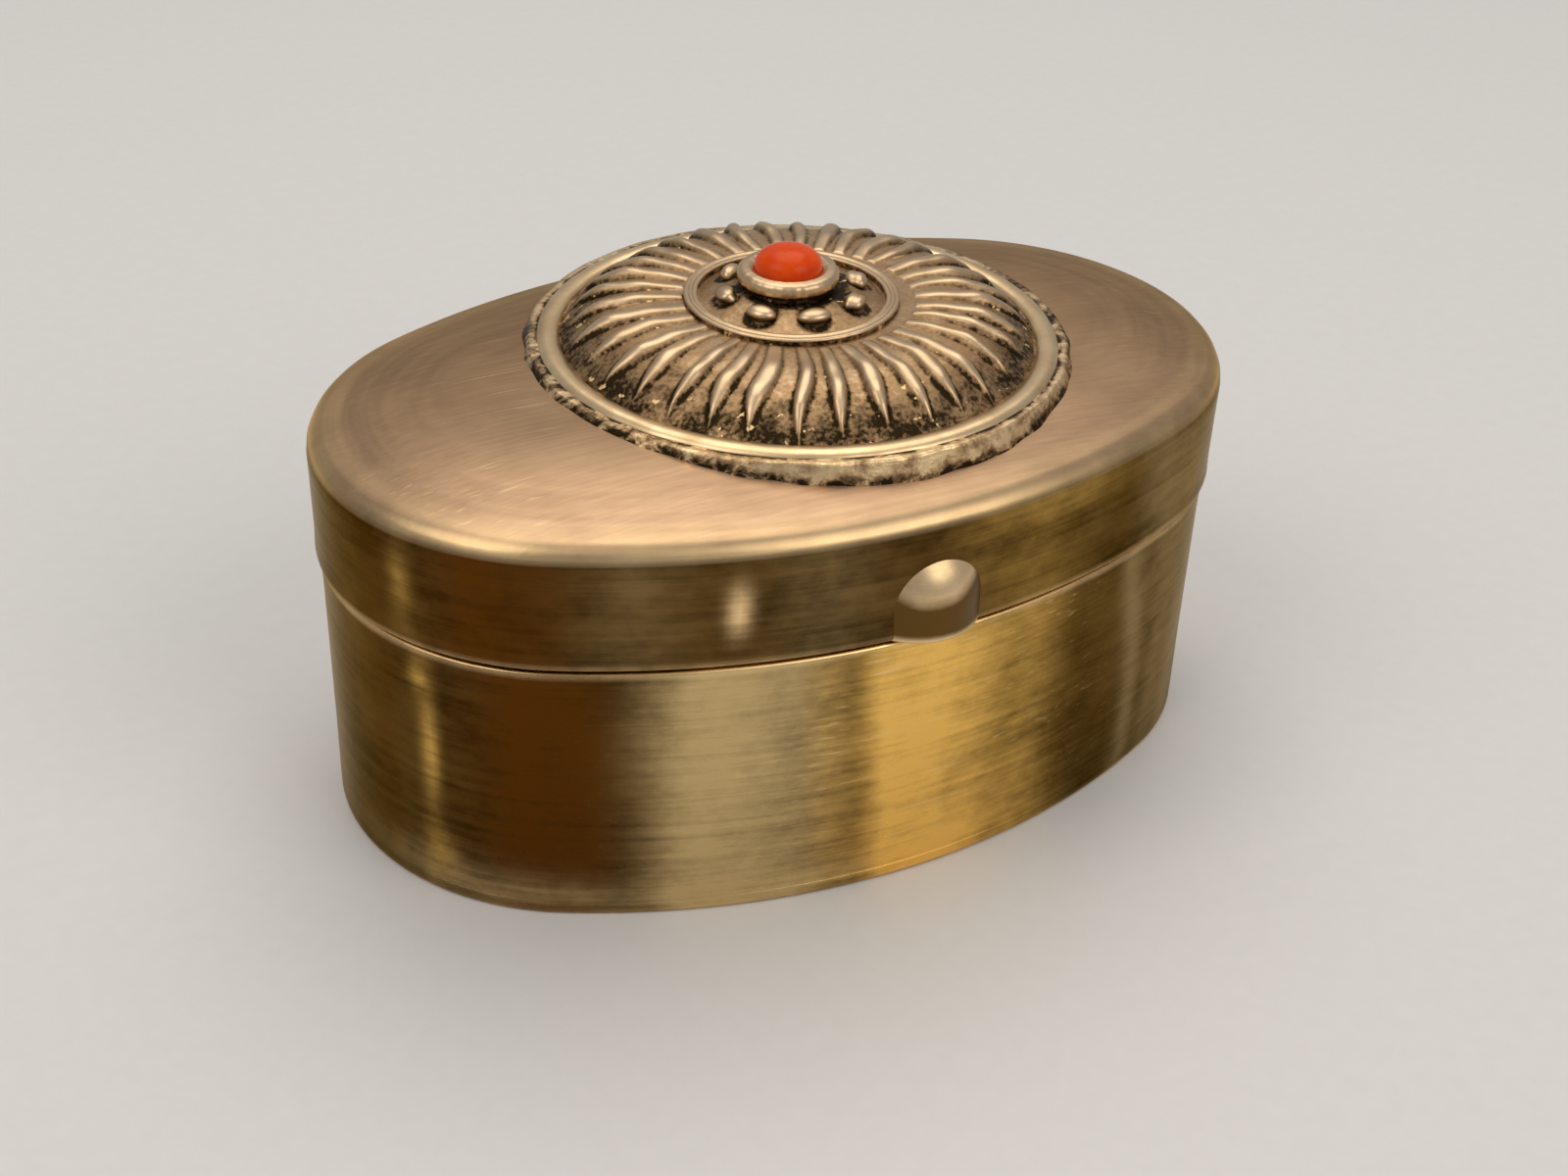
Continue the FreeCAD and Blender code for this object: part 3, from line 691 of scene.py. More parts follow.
# Each band as its place round the oval and its width, in millimetres, and its strength
# The bands are partly tarnish and partly painted reflections of the surroundings. The grey bands are painted
# reflections of the backdrop.
BASE_PATCHES = {
    "rust": [(37.6, 1.3, 0.35), (45.8, 2.8, 0.95), (49.2, 1.8, 0.6), (92.0, 4.0, 0.5), (18.0, 4.0, 0.7)],
    "olive": [
        (54.6, 2.3, 0.75), (57.8, 2.4, 0.7), (60.6, 1.8, 0.4), (99.0, 5.0, 0.6), (121.0, 6.0, 0.7),
        (8.0, 4.0, 0.6),
    ],
    "gold": [
        (40.5, 0.6, 0.10), (61.6, 1.1, 0.3), (64.6, 1.5, 1.0), (66.8, 1.5, 0.75), (69.2, 1.8, 0.62),
        (72.8, 2.2, 0.4), (106.0, 2.0, 0.4), (28.0, 1.6, 0.4),
    ],
    "grey": [(31.6, 2.4, 0.8), (81.6, 1.1, 0.85), (84.4, 1.3, 0.55), (87.8, 2.2, 0.95), (112.0, 3.0, 0.6)],
}
LID_PATCHES = {
    "rust": [(38.0, 1.5, 0.4), (43.8, 2.4, 0.85), (47.0, 1.6, 0.4), (95.0, 4.0, 0.5), (20.0, 4.0, 0.6)],
    "olive": [(51.5, 2.4, 0.10), (61.0, 2.5, 0.14), (100.0, 4.0, 0.5), (122.0, 5.0, 0.6), (10.0, 4.0, 0.5)],
    "gold": [(39.8, 0.7, 0.05), (71.5, 3.5, 0.18), (107.0, 2.0, 0.35), (27.0, 1.6, 0.35)],
    "grey": [(31.0, 2.0, 0.3), (84.4, 2.2, 0.6), (113.0, 3.0, 0.5)],
}

# Each spot as its colour, its place, its width, its level and its height, in millimetres, and its strength
# The spots, like the bands, are partly tarnish and partly painted reflections.
BASE_SPOTS = [
    ("gold", 40.1, 0.5, 13.2, 0.7, 0.5), ("gold", 40.6, 0.45, 9.0, 2.6, 0.5),
    ("gold", 41.2, 0.9, 2.6, 1.1, 0.35), ("olive", 43.0, 6.0, 1.4, 1.2, 0.35),
    ("olive", 57.0, 12.0, 1.1, 0.7, 0.5), ("gold", 70.0, 4.0, 1.6, 1.6, 0.3),
    ("gold", 66.0, 2.5, 12.5, 1.5, 0.25), ("rust", 62.6, 0.8, 4.5, 3.0, 0.35),
]
LID_SPOTS = [
    # The bare spot at 56.7 mm on the lid's wall is a painted highlight.
    ("gold", 39.8, 0.5, 18.6, 1.4, 0.25), ("bare", 56.7, 0.55, 18.2, 1.2, 1.0),
    ("gold", 75.0, 5.0, 20.5, 1.0, 0.2),
]

# Each dent as its place round the oval, its level, half width, half height and depth
DENTS = np.array([
    (38.6, 6.0, 1.0, 5.0, 0.10), (41.0, 8.0, 0.8, 4.0, 0.07), (77.0, 7.0, 1.3, 6.0, 0.10),
    (81.0, 8.0, 1.2, 5.0, 0.08), (68.0, 4.0, 2.2, 2.0, 0.05), (103.0, 6.0, 2.0, 4.0, 0.08),
    (8.0, 7.0, 2.5, 3.0, 0.05),
]) * MM
WAVE_DEPTH = 0.09 * MM

# Heights over which waves and dents fade towards the edges of the walls, and the share left at the seam
BASE_FOOT_FADE = 4.0 * MM
BASE_SEAM_FADE = 1.5 * MM
BASE_SEAM_SHARE = 0.3
LID_TOP_FADE = 2.0 * MM
LID_SEAM_FADE = 1.2 * MM
LID_SEAM_SHARE = 0.2


def sunk(rings, seed, fade):
    """Walls drawn in by a slow wave and by the dents, never out. fade is 0 where the wall stays true."""
    level = rings[..., 2]
    distance = np.broadcast_to(around, level.shape)
    depth = WAVE_DEPTH * ripple(distance, level, count=7, seed=seed)
    for place, height, width, tall, deep in DENTS:
        depth = depth + deep * near(distance, place, width) * bell(level - height, tall)
    moved = rings.copy()
    moved[..., :2] -= (depth * fade)[..., None] * plan_normals
    return moved


# Hinge groove at the back of the walls

KNUCKLE_NAMES = {
    "base": ("base_knuckle_left", "base_knuckle_middle", "base_knuckle_right"),
    "lid": ("lid_knuckle_left", "lid_knuckle_right"),
}
GROOVE_LIMIT = 0.999 * KNUCKLE_RADIUS


def groove_radius(x, body):
    """Radius of the groove: the knuckle's own at the body's knuckles, wider at the other body's."""
    radius = np.full_like(x, KNUCKLE_RADIUS + GROOVE_CLEARANCE)
    for name in KNUCKLE_NAMES[body]:
        low, high = corners_of(name)
        radius[(x > low[0]) & (x < high[0])] = KNUCKLE_RADIUS
    return radius


def grooved(rings, edge, side, body):
    """Wall whose edge is drawn back to the groove: levels within reach of it are squeezed evenly.

    side is -1 for a wall below the hinge and 1 for a wall above it.
    """
    x, y, z = rings.transpose(2, 0, 1)
    across = np.clip(np.abs(y - hinge_y), 0, GROOVE_LIMIT)
    floor = hinge_z + side * np.sqrt(groove_radius(x, body) ** 2 - across ** 2)
    root = edge + side * GROOVE_REACH
    share = np.clip((z - root) / (edge - root), 0, 1)
    squeezed = root + share * (floor - root)
    inside = (np.abs(x) < GROOVE_HALF) & (y > 0)
    out = rings.copy()
    out[..., 2] = np.where(inside & (share > 0), squeezed, z)
    return out


# Base

INSIDE_OLIVE = 0.55
LIP_WINDOW_GAP = 0.15 * MM
PLATE_RINGS = 14


def dulled(shares, inner):
    """Tarnish and painted reflection shares as flat lists, with an even dull olive on the inner faces."""
    plain = {"olive": INSIDE_OLIVE}
    return {name: np.where(inner, plain.get(name, 0), share).ravel() for name, share in shares.items()}


def plain_tarnish(count):
    """Even dull olive for all of a piece's corner points."""
    none = np.zeros(count)
    return {name: none + INSIDE_OLIVE if name == "olive" else none for name in TARNISH_AND_REFLECTIONS}


def make_base_wall():
    """Band of sheet on the oval, from the floor's top to the seam, grooved at the hinge."""
    profile = outline([
        (0, wall_low[2], CRISP), (0, wall_low[2] + CRISP_LOOP, 0), (0, wall_high[2] - SEAM_LOOP, 0),
        (0, wall_high[2], SEAM_ROUND), (-SHEET, wall_high[2], SHEET_ROUND), (-SHEET, wall_low[2], 0),
    ])
    rings = grooved(carried(profile), wall_high[2], -1, "base")
    level = rings[..., 2]
    foot = np.clip((level - wall_low[2]) / BASE_FOOT_FADE, 0, 1)
    head = np.clip((wall_high[2] - level) / BASE_SEAM_FADE, BASE_SEAM_SHARE, 1)
    rings = sunk(rings, seed=3, fade=foot * head)
    inner = np.broadcast_to(profile[:, :1] < -0.5 * SHEET, level.shape)
    shares = tarnish_and_reflections(np.broadcast_to(around, level.shape), level, BASE_PATCHES, BASE_SPOTS, wall_high[2])
    skin = grid_mesh(rings, "join")
    add_piece("base_band", [skin], "base", wall_silver, ["base_wall"], dulled(shares, inner))


def make_base_floor():
    """Oval plate under the band, its lower edge rounded: ovals drawn in to a pole on both faces."""
    edge = outline([
        (-SHEET, floor_low[2], 0), (0, floor_low[2], FLOOR_ROUND), (0, floor_high[2] - CRISP_LOOP, 0),
        (0, floor_high[2], CRISP), (-SHEET, floor_high[2], 0),
    ], closed=False, run=FLOOR_RUN)
    rim = carried(edge)
    outwards = np.linspace(0, 1, PLATE_RINGS)
    under = drawn_in(rim[0], outwards[:-1])
    over = drawn_in(rim[-1], outwards[-2::-1])
    rings = np.concatenate([under, rim, over])
    skin = grid_mesh(rings, "poles")
    distance = np.broadcast_to(around, rings.shape[:2])
    # The plate takes the walls' bands, and a bare band along its lower edge: wear and a painted highlight.
    shares = tarnish_and_reflections(distance, rings[..., 2], BASE_PATCHES, BASE_SPOTS, floor_low[2])
    values = {name: at_points(share) for name, share in shares.items()}
    add_piece("base_plate", [skin], "base", wall_silver, ["base_floor"], values)


def make_base_lip():
    """Inner lip that the lid slides over, left open at the back for the hinge's bearer."""
    window = corners_of("base_hinge_bearer")[1][0] + LIP_WINDOW_GAP
    outer = lip_high[0] - half_length
    inner = outer - LIP_SHEET
    profile = outline([
        (outer, lip_low[2], SHEET_ROUND), (outer, lip_high[2], SHEET_ROUND),
        (inner, lip_high[2], SHEET_ROUND), (inner, lip_low[2], SHEET_ROUND),
    ])
    inner_edge = plan + inner * plan_normals
    kept = ~((np.abs(inner_edge[:, 0]) < window) & (plan[:, 1] > 0))
    rings = carried(profile, kept).transpose(1, 0, 2)
    skin = grid_mesh(rings, "caps")
    add_piece("inner_lip", [skin], "base", wall_silver, ["base_lip"], plain_tarnish(len(skin[0])))


# Lid

TOP_RINGS = 42
HOLLOW_ROUND = 0.3 * MM
SHOULDER_LAP = 1.05 * EDGE_ROUND


def make_lid():
    """Lid in one seamless skin: crowned top, rounded shoulder, wall, then the hollow inside."""
    profile = outline([
        (lid_offset - SHOULDER_LAP, lid_edge, 0), (lid_offset, lid_edge, EDGE_ROUND),
        (lid_offset, lid_low[2] + SEAM_LOOP, 0), (lid_offset, lid_low[2], SEAM_ROUND),
        (lid_offset - SHEET, lid_low[2], SHEET_ROUND),
        (lid_offset - SHEET, lid_edge - SHEET, HOLLOW_ROUND), (lid_offset - EDGE_ROUND, lid_edge - SHEET, 0),
    ], closed=False, run=LID_RUN)[1:]
    band = grooved(carried(profile), lid_low[2], 1, "lid")
    outer = profile[:, 0] > lid_offset - 0.5 * SHEET
    level = band[..., 2]
    head = np.clip((lid_edge - level) / LID_TOP_FADE, 0, 1)
    foot = np.clip((level - lid_low[2]) / LID_SEAM_FADE, LID_SEAM_SHARE, 1)
    band = sunk(band, seed=11, fade=head * foot * outer[:, None])
    outwards = np.linspace(0, 1, TOP_RINGS)[:-1]
    top = drawn_in(band[0], outwards)
    top[..., 2] = lid_level(top[..., 0], top[..., 1])
    under = drawn_in(band[-1], outwards[::-1])
    under[..., 2] = lid_level(under[..., 0], under[..., 1]) - SHEET
    rings = np.concatenate([top, band, under])
    skin = grid_mesh(rings, "poles")
    inside = np.concatenate([np.zeros(len(top), bool), ~outer, np.ones(len(under), bool)])
    inside = np.broadcast_to(inside[:, None], rings.shape[:2])
    distance = np.broadcast_to(around, rings.shape[:2])
    tints = dulled(tarnish_and_reflections(distance, rings[..., 2], LID_PATCHES, LID_SPOTS, lid_low[2]), inside)
    values = {name: at_points(tint.reshape(rings.shape[:2])) for name, tint in tints.items()}
    add_piece("lid_shell", [skin], "lid", lid_silver, ["lid_wall", "lid_top"], values)


# The knob carries painted light: bright round one direction, a painted highlight along its lower edge, and
# brown painted shade elsewhere
KNOB_LIT_SIDE = np.array([-0.10, -0.50, 0.86])
KNOB_LIT_LIMIT = 0.74
KNOB_FADE = 0.2
KNOB_EDGE = 0.3 * MM
BALL_STEPS = 40


def make_knob():
    """Upright ball end on the lid's front wall, flat below: turned, and kept out of the lid's hollow."""
    front = lid_low[1]
    axis = ((knob_high[0] + knob_low[0]) / 2, knob_low[1] + KNOB_RADIUS)
    middle = knob_low[2] + KNOB_RISE
    turn = np.linspace(0, 0.25 * TAU, BALL_STEPS)
    ball = np.stack([KNOB_RADIUS * np.cos(turn), middle + KNOB_RADIUS * np.sin(turn)], -1)
    ball[-1, 0] = 0
    side = outline([
        (0, knob_low[2], 0), (KNOB_RADIUS, knob_low[2], KNOB_ROUND), (KNOB_RADIUS, middle, 0),
    ], closed=False, run=KNOB_RUN)
    rings = turned(np.concatenate([side[:-1], ball]), axis)
    facing = (rings - np.array([*axis, middle])) / KNOB_RADIUS
    facing[..., 2] = np.clip(facing[..., 2], 0, 1)
    # Painted shade where the knob faces away from the lit direction, which points up and to the front.
    film = np.clip((KNOB_LIT_LIMIT - facing @ KNOB_LIT_SIDE) / KNOB_FADE, 0, 1)
    # Painted highlight: the shade is kept off a thin band along the lower edge.
    film *= 1 - np.exp(-((rings[..., 2] - knob_low[2]) / KNOB_EDGE) ** 4)
    rings[..., 1] = np.minimum(rings[..., 1], front + 0.5 * SHEET)
    skin = grid_mesh(rings, "poles")
    add_piece("knob", [skin], "lid", wire_silver, ["thumb_knob"], {"film": at_points(film)})


# Medallion

RAY_COUNT = 34
RAY_STEPS = 22
RAY_SEED = 34
RAY_TIP_GAP = 0.12 * MM
RAY_ROOT_SINK = 0.15 * MM
FIELD_MARGIN = 0.1 * MM
DOME_SWELL = 0.25 * MM
SWELL_PEAK = 4 / 27
medal = (dome_high[:2] + dome_low[:2]) / 2
dome_radius = (dome_high[0] - dome_low[0]) / 2
rim_radius = (rim_high[0] - rim_low[0]) / 2
ring_radius = (ring_high[0] - ring_low[0]) / 2
ring_centre = (ring_high[:2] + ring_low[:2]) / 2
field_radius = ring_radius + np.linalg.norm(ring_centre - medal) + FIELD_MARGIN
field_level = ring_low[2]
edge_level = collar_high[2]
ray_start = field_radius - RAY_ROOT_SINK
ray_end = dome_radius - RAY_TIP_GAP


def dome_level(radius):
    """Level of the dome: flat in the middle field, then the arc of a circle down to its edge.

    The arc is swollen a little, most at two thirds of its run: a cubic that is 0 at both of its ends.
    """
    fall = field_level - edge_level
    reach = dome_radius - field_radius
    curve = (reach ** 2 + fall ** 2) / (2 * fall)
    run = np.clip(radius - field_radius, 0, reach)
    swell = (run / reach) ** 2 * (1 - run / reach) / SWELL_PEAK
    return field_level - curve + np.sqrt(curve ** 2 - run ** 2) + DOME_SWELL * swell


RAY_AT = np.array([0.0, 0.1, 0.25, 0.4, 0.55, 0.66, 0.76, 0.86, 0.94, 1.0])
RAY_HALF_WIDTH = np.array([0.34, 0.38, 0.43, 0.48, 0.53, 0.53, 0.46, 0.31, 0.16, 0.04]) * MM
RAY_HEIGHT = np.array([0.08, 0.15, 0.23, 0.31, 0.38, 0.42, 0.42, 0.36, 0.22, 0.05]) * MM
RAY_EDGE = 0.13 * MM

# How the rays differ. The lean is in pitches, the lengths and the bend's mean and spread in millimetres
RAY_LEAN = 0.08
RAY_LENGTHS = (-0.45, 0.1)
RAY_WIDTHS = (0.8, 1.12)
RAY_HEIGHTS = (0.82, 1.08)
RAY_BEND = (0.08, 0.1)
BEND_TURN = 1.6 * math.pi
RAY_WOBBLE = 0.05 * MM
WOBBLE_TURN = 9
RAY_LUMP = 0.1
LUMP_TURN = 17
ARCH_FLATNESS = 2.2
ARCH_ROUNDNESS = 0.58


def ray_relief(radius, angle):
    """Height of the rays over the dome, their arch from 0 to 1 and the dark line along their edges.

    Each ray is a tongue whose half width and height swell from the root and draw in to a fine tip.
    Across, it is a rounded arch. Every ray has its own length, width, bend and turn.
    """
    draw = np.random.default_rng(RAY_SEED)
    pitch = TAU / RAY_COUNT
    index = np.round(angle / pitch).astype(int) % RAY_COUNT
    lean = draw.normal(0, RAY_LEAN, RAY_COUNT)[index] * pitch
    end = (ray_end + draw.uniform(*RAY_LENGTHS, RAY_COUNT) * MM)[index]
    wide = draw.uniform(*RAY_WIDTHS, RAY_COUNT)[index]
    tall = draw.uniform(*RAY_HEIGHTS, RAY_COUNT)[index]
    beat = draw.uniform(0, TAU, RAY_COUNT)[index]
    bend = draw.normal(*RAY_BEND, RAY_COUNT)[index] * MM
    along = (radius - ray_start) / (end - ray_start)
    held = np.clip(along, 0, 1)
    offset = (angle / pitch - np.round(angle / pitch)) * pitch - lean
    wobble = RAY_WOBBLE * np.sin(WOBBLE_TURN * held + beat)
    across = radius * offset - bend * np.sin(BEND_TURN * held) - wobble
    half = np.interp(held, RAY_AT, RAY_HALF_WIDTH) * wide
    lump = 1 + RAY_LUMP * np.sin(LUMP_TURN * held + 2 * beat)
    height = np.interp(held, RAY_AT, RAY_HEIGHT) * tall * lump
    share = np.clip(np.abs(across) / half, 0, 1)
    arch = (1 - share ** ARCH_FLATNESS) ** ARCH_ROUNDNESS
    edge = bell(np.abs(across) - half, RAY_EDGE)
    inside = (along > 0) & (along < 1)
    return np.where(inside, height * arch, 0), np.where(inside, arch, 0), np.where(inside, edge, 0)


# Radii where the dome's hidden middle ends and its fine grid starts, and the count of fine rings
DOME_MIDDLE = 3.0 * MM
DOME_GRID_START = 4.6 * MM
DOME_RINGS = 116

# Dirt between the rays: at their roots, what is added at their tips, and the stretch over which it grows
ROOT_DIRT = 0.32
TIP_DIRT = 0.42
DIRT_START = 0.45
DIRT_RUN = 0.5
EDGE_DIRT = 0.25
EDGE_TIP_DIRT = 0.35


def make_dome():
    """Domed sheet with its rays: a polar grid raised by the relief, closed by a flat underside."""
    fine = np.linspace(DOME_GRID_START, dome_radius, DOME_RINGS)
    radius = np.concatenate([[0, DOME_MIDDLE], fine])
    angle = np.linspace(0, TAU, RAY_COUNT * RAY_STEPS, endpoint=False)
    radii, angles = np.meshgrid(radius, angle, indexing="ij")
    relief, arch, edge = ray_relief(radii, angles)
    level = dome_level(radii) + relief
    top = np.stack([medal[0] + radii * np.cos(angles), medal[1] + radii * np.sin(angles), level], -1)
    under = np.stack([top[-1], top[0]])
    under[..., 2] = dome_low[2]
    rings = np.concatenate([top, under])
    outward = np.clip((radii - ray_start) / (ray_end - ray_start), 0, 1)
    flat = ROOT_DIRT + TIP_DIRT * np.clip((outward - DIRT_START) / DIRT_RUN, 0, 1)
    recess = np.clip((1 - arch) * flat + edge * (EDGE_DIRT + EDGE_TIP_DIRT * outward), 0, 1)
    recess = np.concatenate([recess, recess[[-1, 0]]])
    skin = grid_mesh(rings, "poles")
    add_chased("rayed_dome", [skin], "medallion_dome", at_points(recess))


WAVES = 14
WAVE_TURNS = (3, 40)
WAVE_TWIST = 6
WAVE_SHARE = 1.4
TINY = 1e-9


def uneven(rings, depth, seed):
    """Turned work made by hand: every ring moved, mostly inwards, by a small wave round and along it."""
    draw = np.random.default_rng(seed)
    angle = np.linspace(0, TAU, rings.shape[1], endpoint=False)
    row = np.linspace(0, 1, rings.shape[0])[:, None, None]
    turns = draw.integers(*WAVE_TURNS, WAVES)
    twist = draw.uniform(-WAVE_TWIST, WAVE_TWIST, WAVES)
    wave = np.cos(angle[:, None] * turns + row * twist + draw.uniform(0, TAU, WAVES)).mean(-1)
    centre = rings[..., :2].mean(1, keepdims=True)
    arm = rings[..., :2] - centre
    length = np.linalg.norm(arm, axis=-1, keepdims=True)
    out = rings.copy()
    out[..., :2] -= arm / np.maximum(length, TINY) * (depth * (0.5 + WAVE_SHARE * wave))[..., None]
    return out


COLLAR_BATTER = 0.4 * MM
COLLAR_SINK = 0.3 * MM
COLLAR_RISE = 0.1 * MM
COLLAR_LAP = 0.3 * MM
COLLAR_DIRT = 0.8 * MM
COLLAR_ROWS = 14
COLLAR_CURVE = 1.3
COLLAR_WEAR = 0.13 * MM
LEDGE_INSET = 0.12 * MM
LEDGE_LAP = 0.1 * MM
LEDGE_ROWS = 6
LEDGE_SHARE = 1.02
CREASE_WIDTH = 0.2 * MM
FOOT_LIGHT, FOOT_DARK = 0.3, 0.95


def make_collar():
    """Sloping foot of the medallion: its lower edge follows the crowned lid, with a ledge outside the rim.

    It is dark in the crease under the rim and along its lower edge.
    """
    inner = dome_radius - COLLAR_LAP
    foot = (collar_high[1] - collar_low[1]) / 2
    head = foot - COLLAR_BATTER
    climb = np.linspace(0, 1, COLLAR_ROWS)
    ledge = np.linspace(head - LEDGE_INSET, rim_radius - LEDGE_LAP, LEDGE_ROWS)
    radius = np.concatenate([[inner], foot + (head - foot) * climb ** COLLAR_CURVE, ledge, [inner]])
    share = np.concatenate([[0], climb, np.full(len(ledge), LEDGE_SHARE), [1]])
    rings = turned(np.stack([radius, share], -1), medal, FOOT_STEPS)
    low = lid_level(rings[1, :, 0], rings[1, :, 1]) - COLLAR_SINK
    rings[..., 2] = low + rings[..., 2] * (edge_level + COLLAR_RISE - low)
    rings[0, :, 2] = lid_level(rings[0, :, 0], rings[0, :, 1]) - COLLAR_SINK
    rings = uneven(rings, COLLAR_WEAR, seed=5)
    above = rings[..., 2] - low - COLLAR_SINK
    crease = bell(radius[:, None] - rim_radius, CREASE_WIDTH)
    recess = np.clip(np.maximum(FOOT_DARK - above / COLLAR_DIRT, crease), FOOT_LIGHT, FOOT_DARK)
    skin = grid_mesh(rings, "join")
    add_chased("medallion_foot", [skin], "medallion_collar", recess.ravel(), foot_silver)


RIM_SHARE = 0.85
RIM_SINK = 0.1 * MM
RIM_WEAR = 0.03 * MM
RIM_ROWS = 15


def make_rim():
    """Low round-backed wire on the foot, a little uneven: half an ellipse turned round."""
    height = RIM_SHARE * (rim_high[2] - edge_level)
    half = (rim_radius - dome_radius) / 2
    middle = rim_radius - half
    turn = np.linspace(0, math.pi, RIM_ROWS)
    arch = np.stack([middle + half * np.cos(turn), edge_level + height * np.sin(turn)], -1)
    foot = np.array([(middle - half, edge_level - RIM_SINK), (middle + half, edge_level - RIM_SINK)])
    wire = turned(np.concatenate([arch, foot]), medal, RIM_STEPS)
    rings = uneven(wire, RIM_WEAR, seed=9)
    add_piece("rim_wire", [grid_mesh(rings, "join")], "lid", wire_silver, ["medallion_rim"])


RING_WIDTH = 0.73 * MM
RING_SINK = 0.15 * MM
RING_DIP = 0.07 * MM
RING_OUTER_EDGE = 0.22 * MM
RING_INNER_EDGE = 0.2 * MM
RING_OUTER_ROUND = 0.13 * MM
RING_INNER_ROUND = 0.1 * MM
RING_SOFT = 0.05 * MM
RING_WEAR = 0.025 * MM
RING_TOP = 0.1 * MM
RING_LIGHT, RING_DARK = 0.12, 0.75


def make_ring():
    """Flat wire ring round the rosette, its two edges raised a little over its middle."""
    outer, inner = ring_radius, ring_radius - RING_WIDTH
    top, low = ring_high[2], ring_low[2] - RING_SINK
    profile = outline([
        (inner, low, 0), (outer, low, 0), (outer, top, RING_OUTER_ROUND),
        (outer - RING_OUTER_EDGE, top, RING_SOFT), ((outer + inner) / 2, top - RING_DIP, 0),
        (inner + RING_INNER_EDGE, top, RING_SOFT), (inner, top, RING_INNER_ROUND),
    ], run=FINE_RUN)
    rings = uneven(turned(profile, ring_centre, RING_STEPS), RING_WEAR, seed=12)
    recess = np.where(rings[..., 2] > top - RING_TOP, RING_LIGHT, RING_DARK)
    add_chased("rosette_wire", [grid_mesh(rings, "join")], "rosette_ring", recess.ravel())


BEAD_COUNT = 8
BEAD_TURN = math.radians(37.5)
BEAD_SEED = 100
BEAD_LIFT = 0.1 * MM
BEAD_DIRT = 0.5 * MM
BEAD_ROWS = 25
BEAD_SIZES = (0.9, 1.08)
BEAD_LUMP = 0.06
LUMP_SPREAD = 2.2
BEAD_SEAT_DARK = 0.55
BEAD_LIGHT, BEAD_DARK = 0.05, 0.8
BEAD_CIRCLE = 3.55 * MM
BEAD_SIZE = np.array([0.56, 0.80, 0.42]) * MM
boss_radius = (boss_high[0] - boss_low[0]) / 2
BOSS_TOP = 3.0 * MM
BOSS_CURVE = 1.15


def boss_level(radius):
    """Level of the rosette's raised middle: a hollow slope that steepens towards the bezel."""
    share = np.clip((boss_radius - radius) / (boss_radius - BOSS_TOP), 0, 1)
    return boss_low[2] + (boss_high[2] - boss_low[2]) * share ** BOSS_CURVE


def bead_places():
    """Angles of the grains round the rosette."""
    return np.arange(BEAD_COUNT) * TAU / BEAD_COUNT + BEAD_TURN


# Worn dip round every grain, and the painted shade round the neck under the bezel
MOAT_RADIUS = 0.72 * MM
MOAT_WIDTH = 0.2 * MM
MOAT_DEPTH = 0.05 * MM
NECK_RADIUS = 2.5 * MM
NECK_WIDTH = 0.45 * MM

# Radii where the hidden middle of the boss ends and its fine rings start, their count, and its dirt and
# painted shade
BOSS_MIDDLE = 1.5 * MM
BOSS_GRID_START = 2.0 * MM
BOSS_RINGS = 40
BOSS_DIRT = 0.42
MOAT_DIRT = 0.6
NECK_SHADE = 0.55


def make_boss():
    """Raised middle of the rosette, turned, with a worn dip and dark dirt round every grain."""
    radius = np.concatenate([[0, BOSS_MIDDLE], np.linspace(BOSS_GRID_START, boss_radius, BOSS_RINGS)])
    profile = np.stack([radius, boss_level(radius)], -1)
    rings = turned(profile, ring_centre, RING_STEPS)
    under = np.stack([rings[-1], rings[0]])
    under[..., 2] = boss_low[2]
    places = bead_places()
    beads = ring_centre + BEAD_CIRCLE * np.stack([np.cos(places), np.sin(places)], -1)
    gap = np.linalg.norm(rings[..., None, :2] - beads, axis=-1).min(-1)
    moat = bell(gap - MOAT_RADIUS, MOAT_WIDTH)
    rings[..., 2] -= MOAT_DEPTH * moat
    reach = np.linalg.norm(rings[..., :2] - ring_centre, axis=-1)
    # Painted shade on the boss round the bezel's neck, under the bezel's overhang.
    neck = bell(reach - NECK_RADIUS, NECK_WIDTH)
    recess = np.clip(BOSS_DIRT + MOAT_DIRT * moat + NECK_SHADE * neck, 0, 1)
    values = at_points(np.concatenate([recess, recess[[-1, 0]]]))
    skin = grid_mesh(np.concatenate([rings, under]), "poles")
    add_chased("rosette_middle", [skin], "rosette_boss", values)


def make_beads():
    """Eight oblong grains on the slope: stretched spheres, each with its own size and a worn lump."""
    polar = np.linspace(0, math.pi, BEAD_ROWS)
    unit = turned(np.stack([np.sin(polar), np.cos(polar)], -1), (0, 0), BEAD_STEPS)
    seat = boss_level(BEAD_CIRCLE)
    skins, shades = [], []
    for index, place in enumerate(bead_places()):
        draw = np.random.default_rng(BEAD_SEED + index)
        size = BEAD_SIZE * draw.uniform(*BEAD_SIZES, 3)
        lump = 1 + BEAD_LUMP * np.cos(unit @ draw.normal(0, LUMP_SPREAD, 3) + draw.uniform(0, TAU))
        local = unit * lump[..., None] * size
        out = np.array([math.cos(place), math.sin(place)])
        side = np.array([-out[1], out[0]])
        flat = ring_centre + BEAD_CIRCLE * out + local[..., :1] * out + local[..., 1:2] * side
        level = seat + BEAD_LIFT + local[..., 2:]
        rings = np.concatenate([flat, level], -1)
        skin = grid_mesh(rings, "poles")
        skins.append(skin)
        darkening = BEAD_SEAT_DARK - (skin[0][:, 2] - seat) / BEAD_DIRT
        shades.append(np.clip(darkening, BEAD_LIGHT, BEAD_DARK))
    add_chased("rosette_grains", skins, "rosette_beads", np.concatenate(shades))


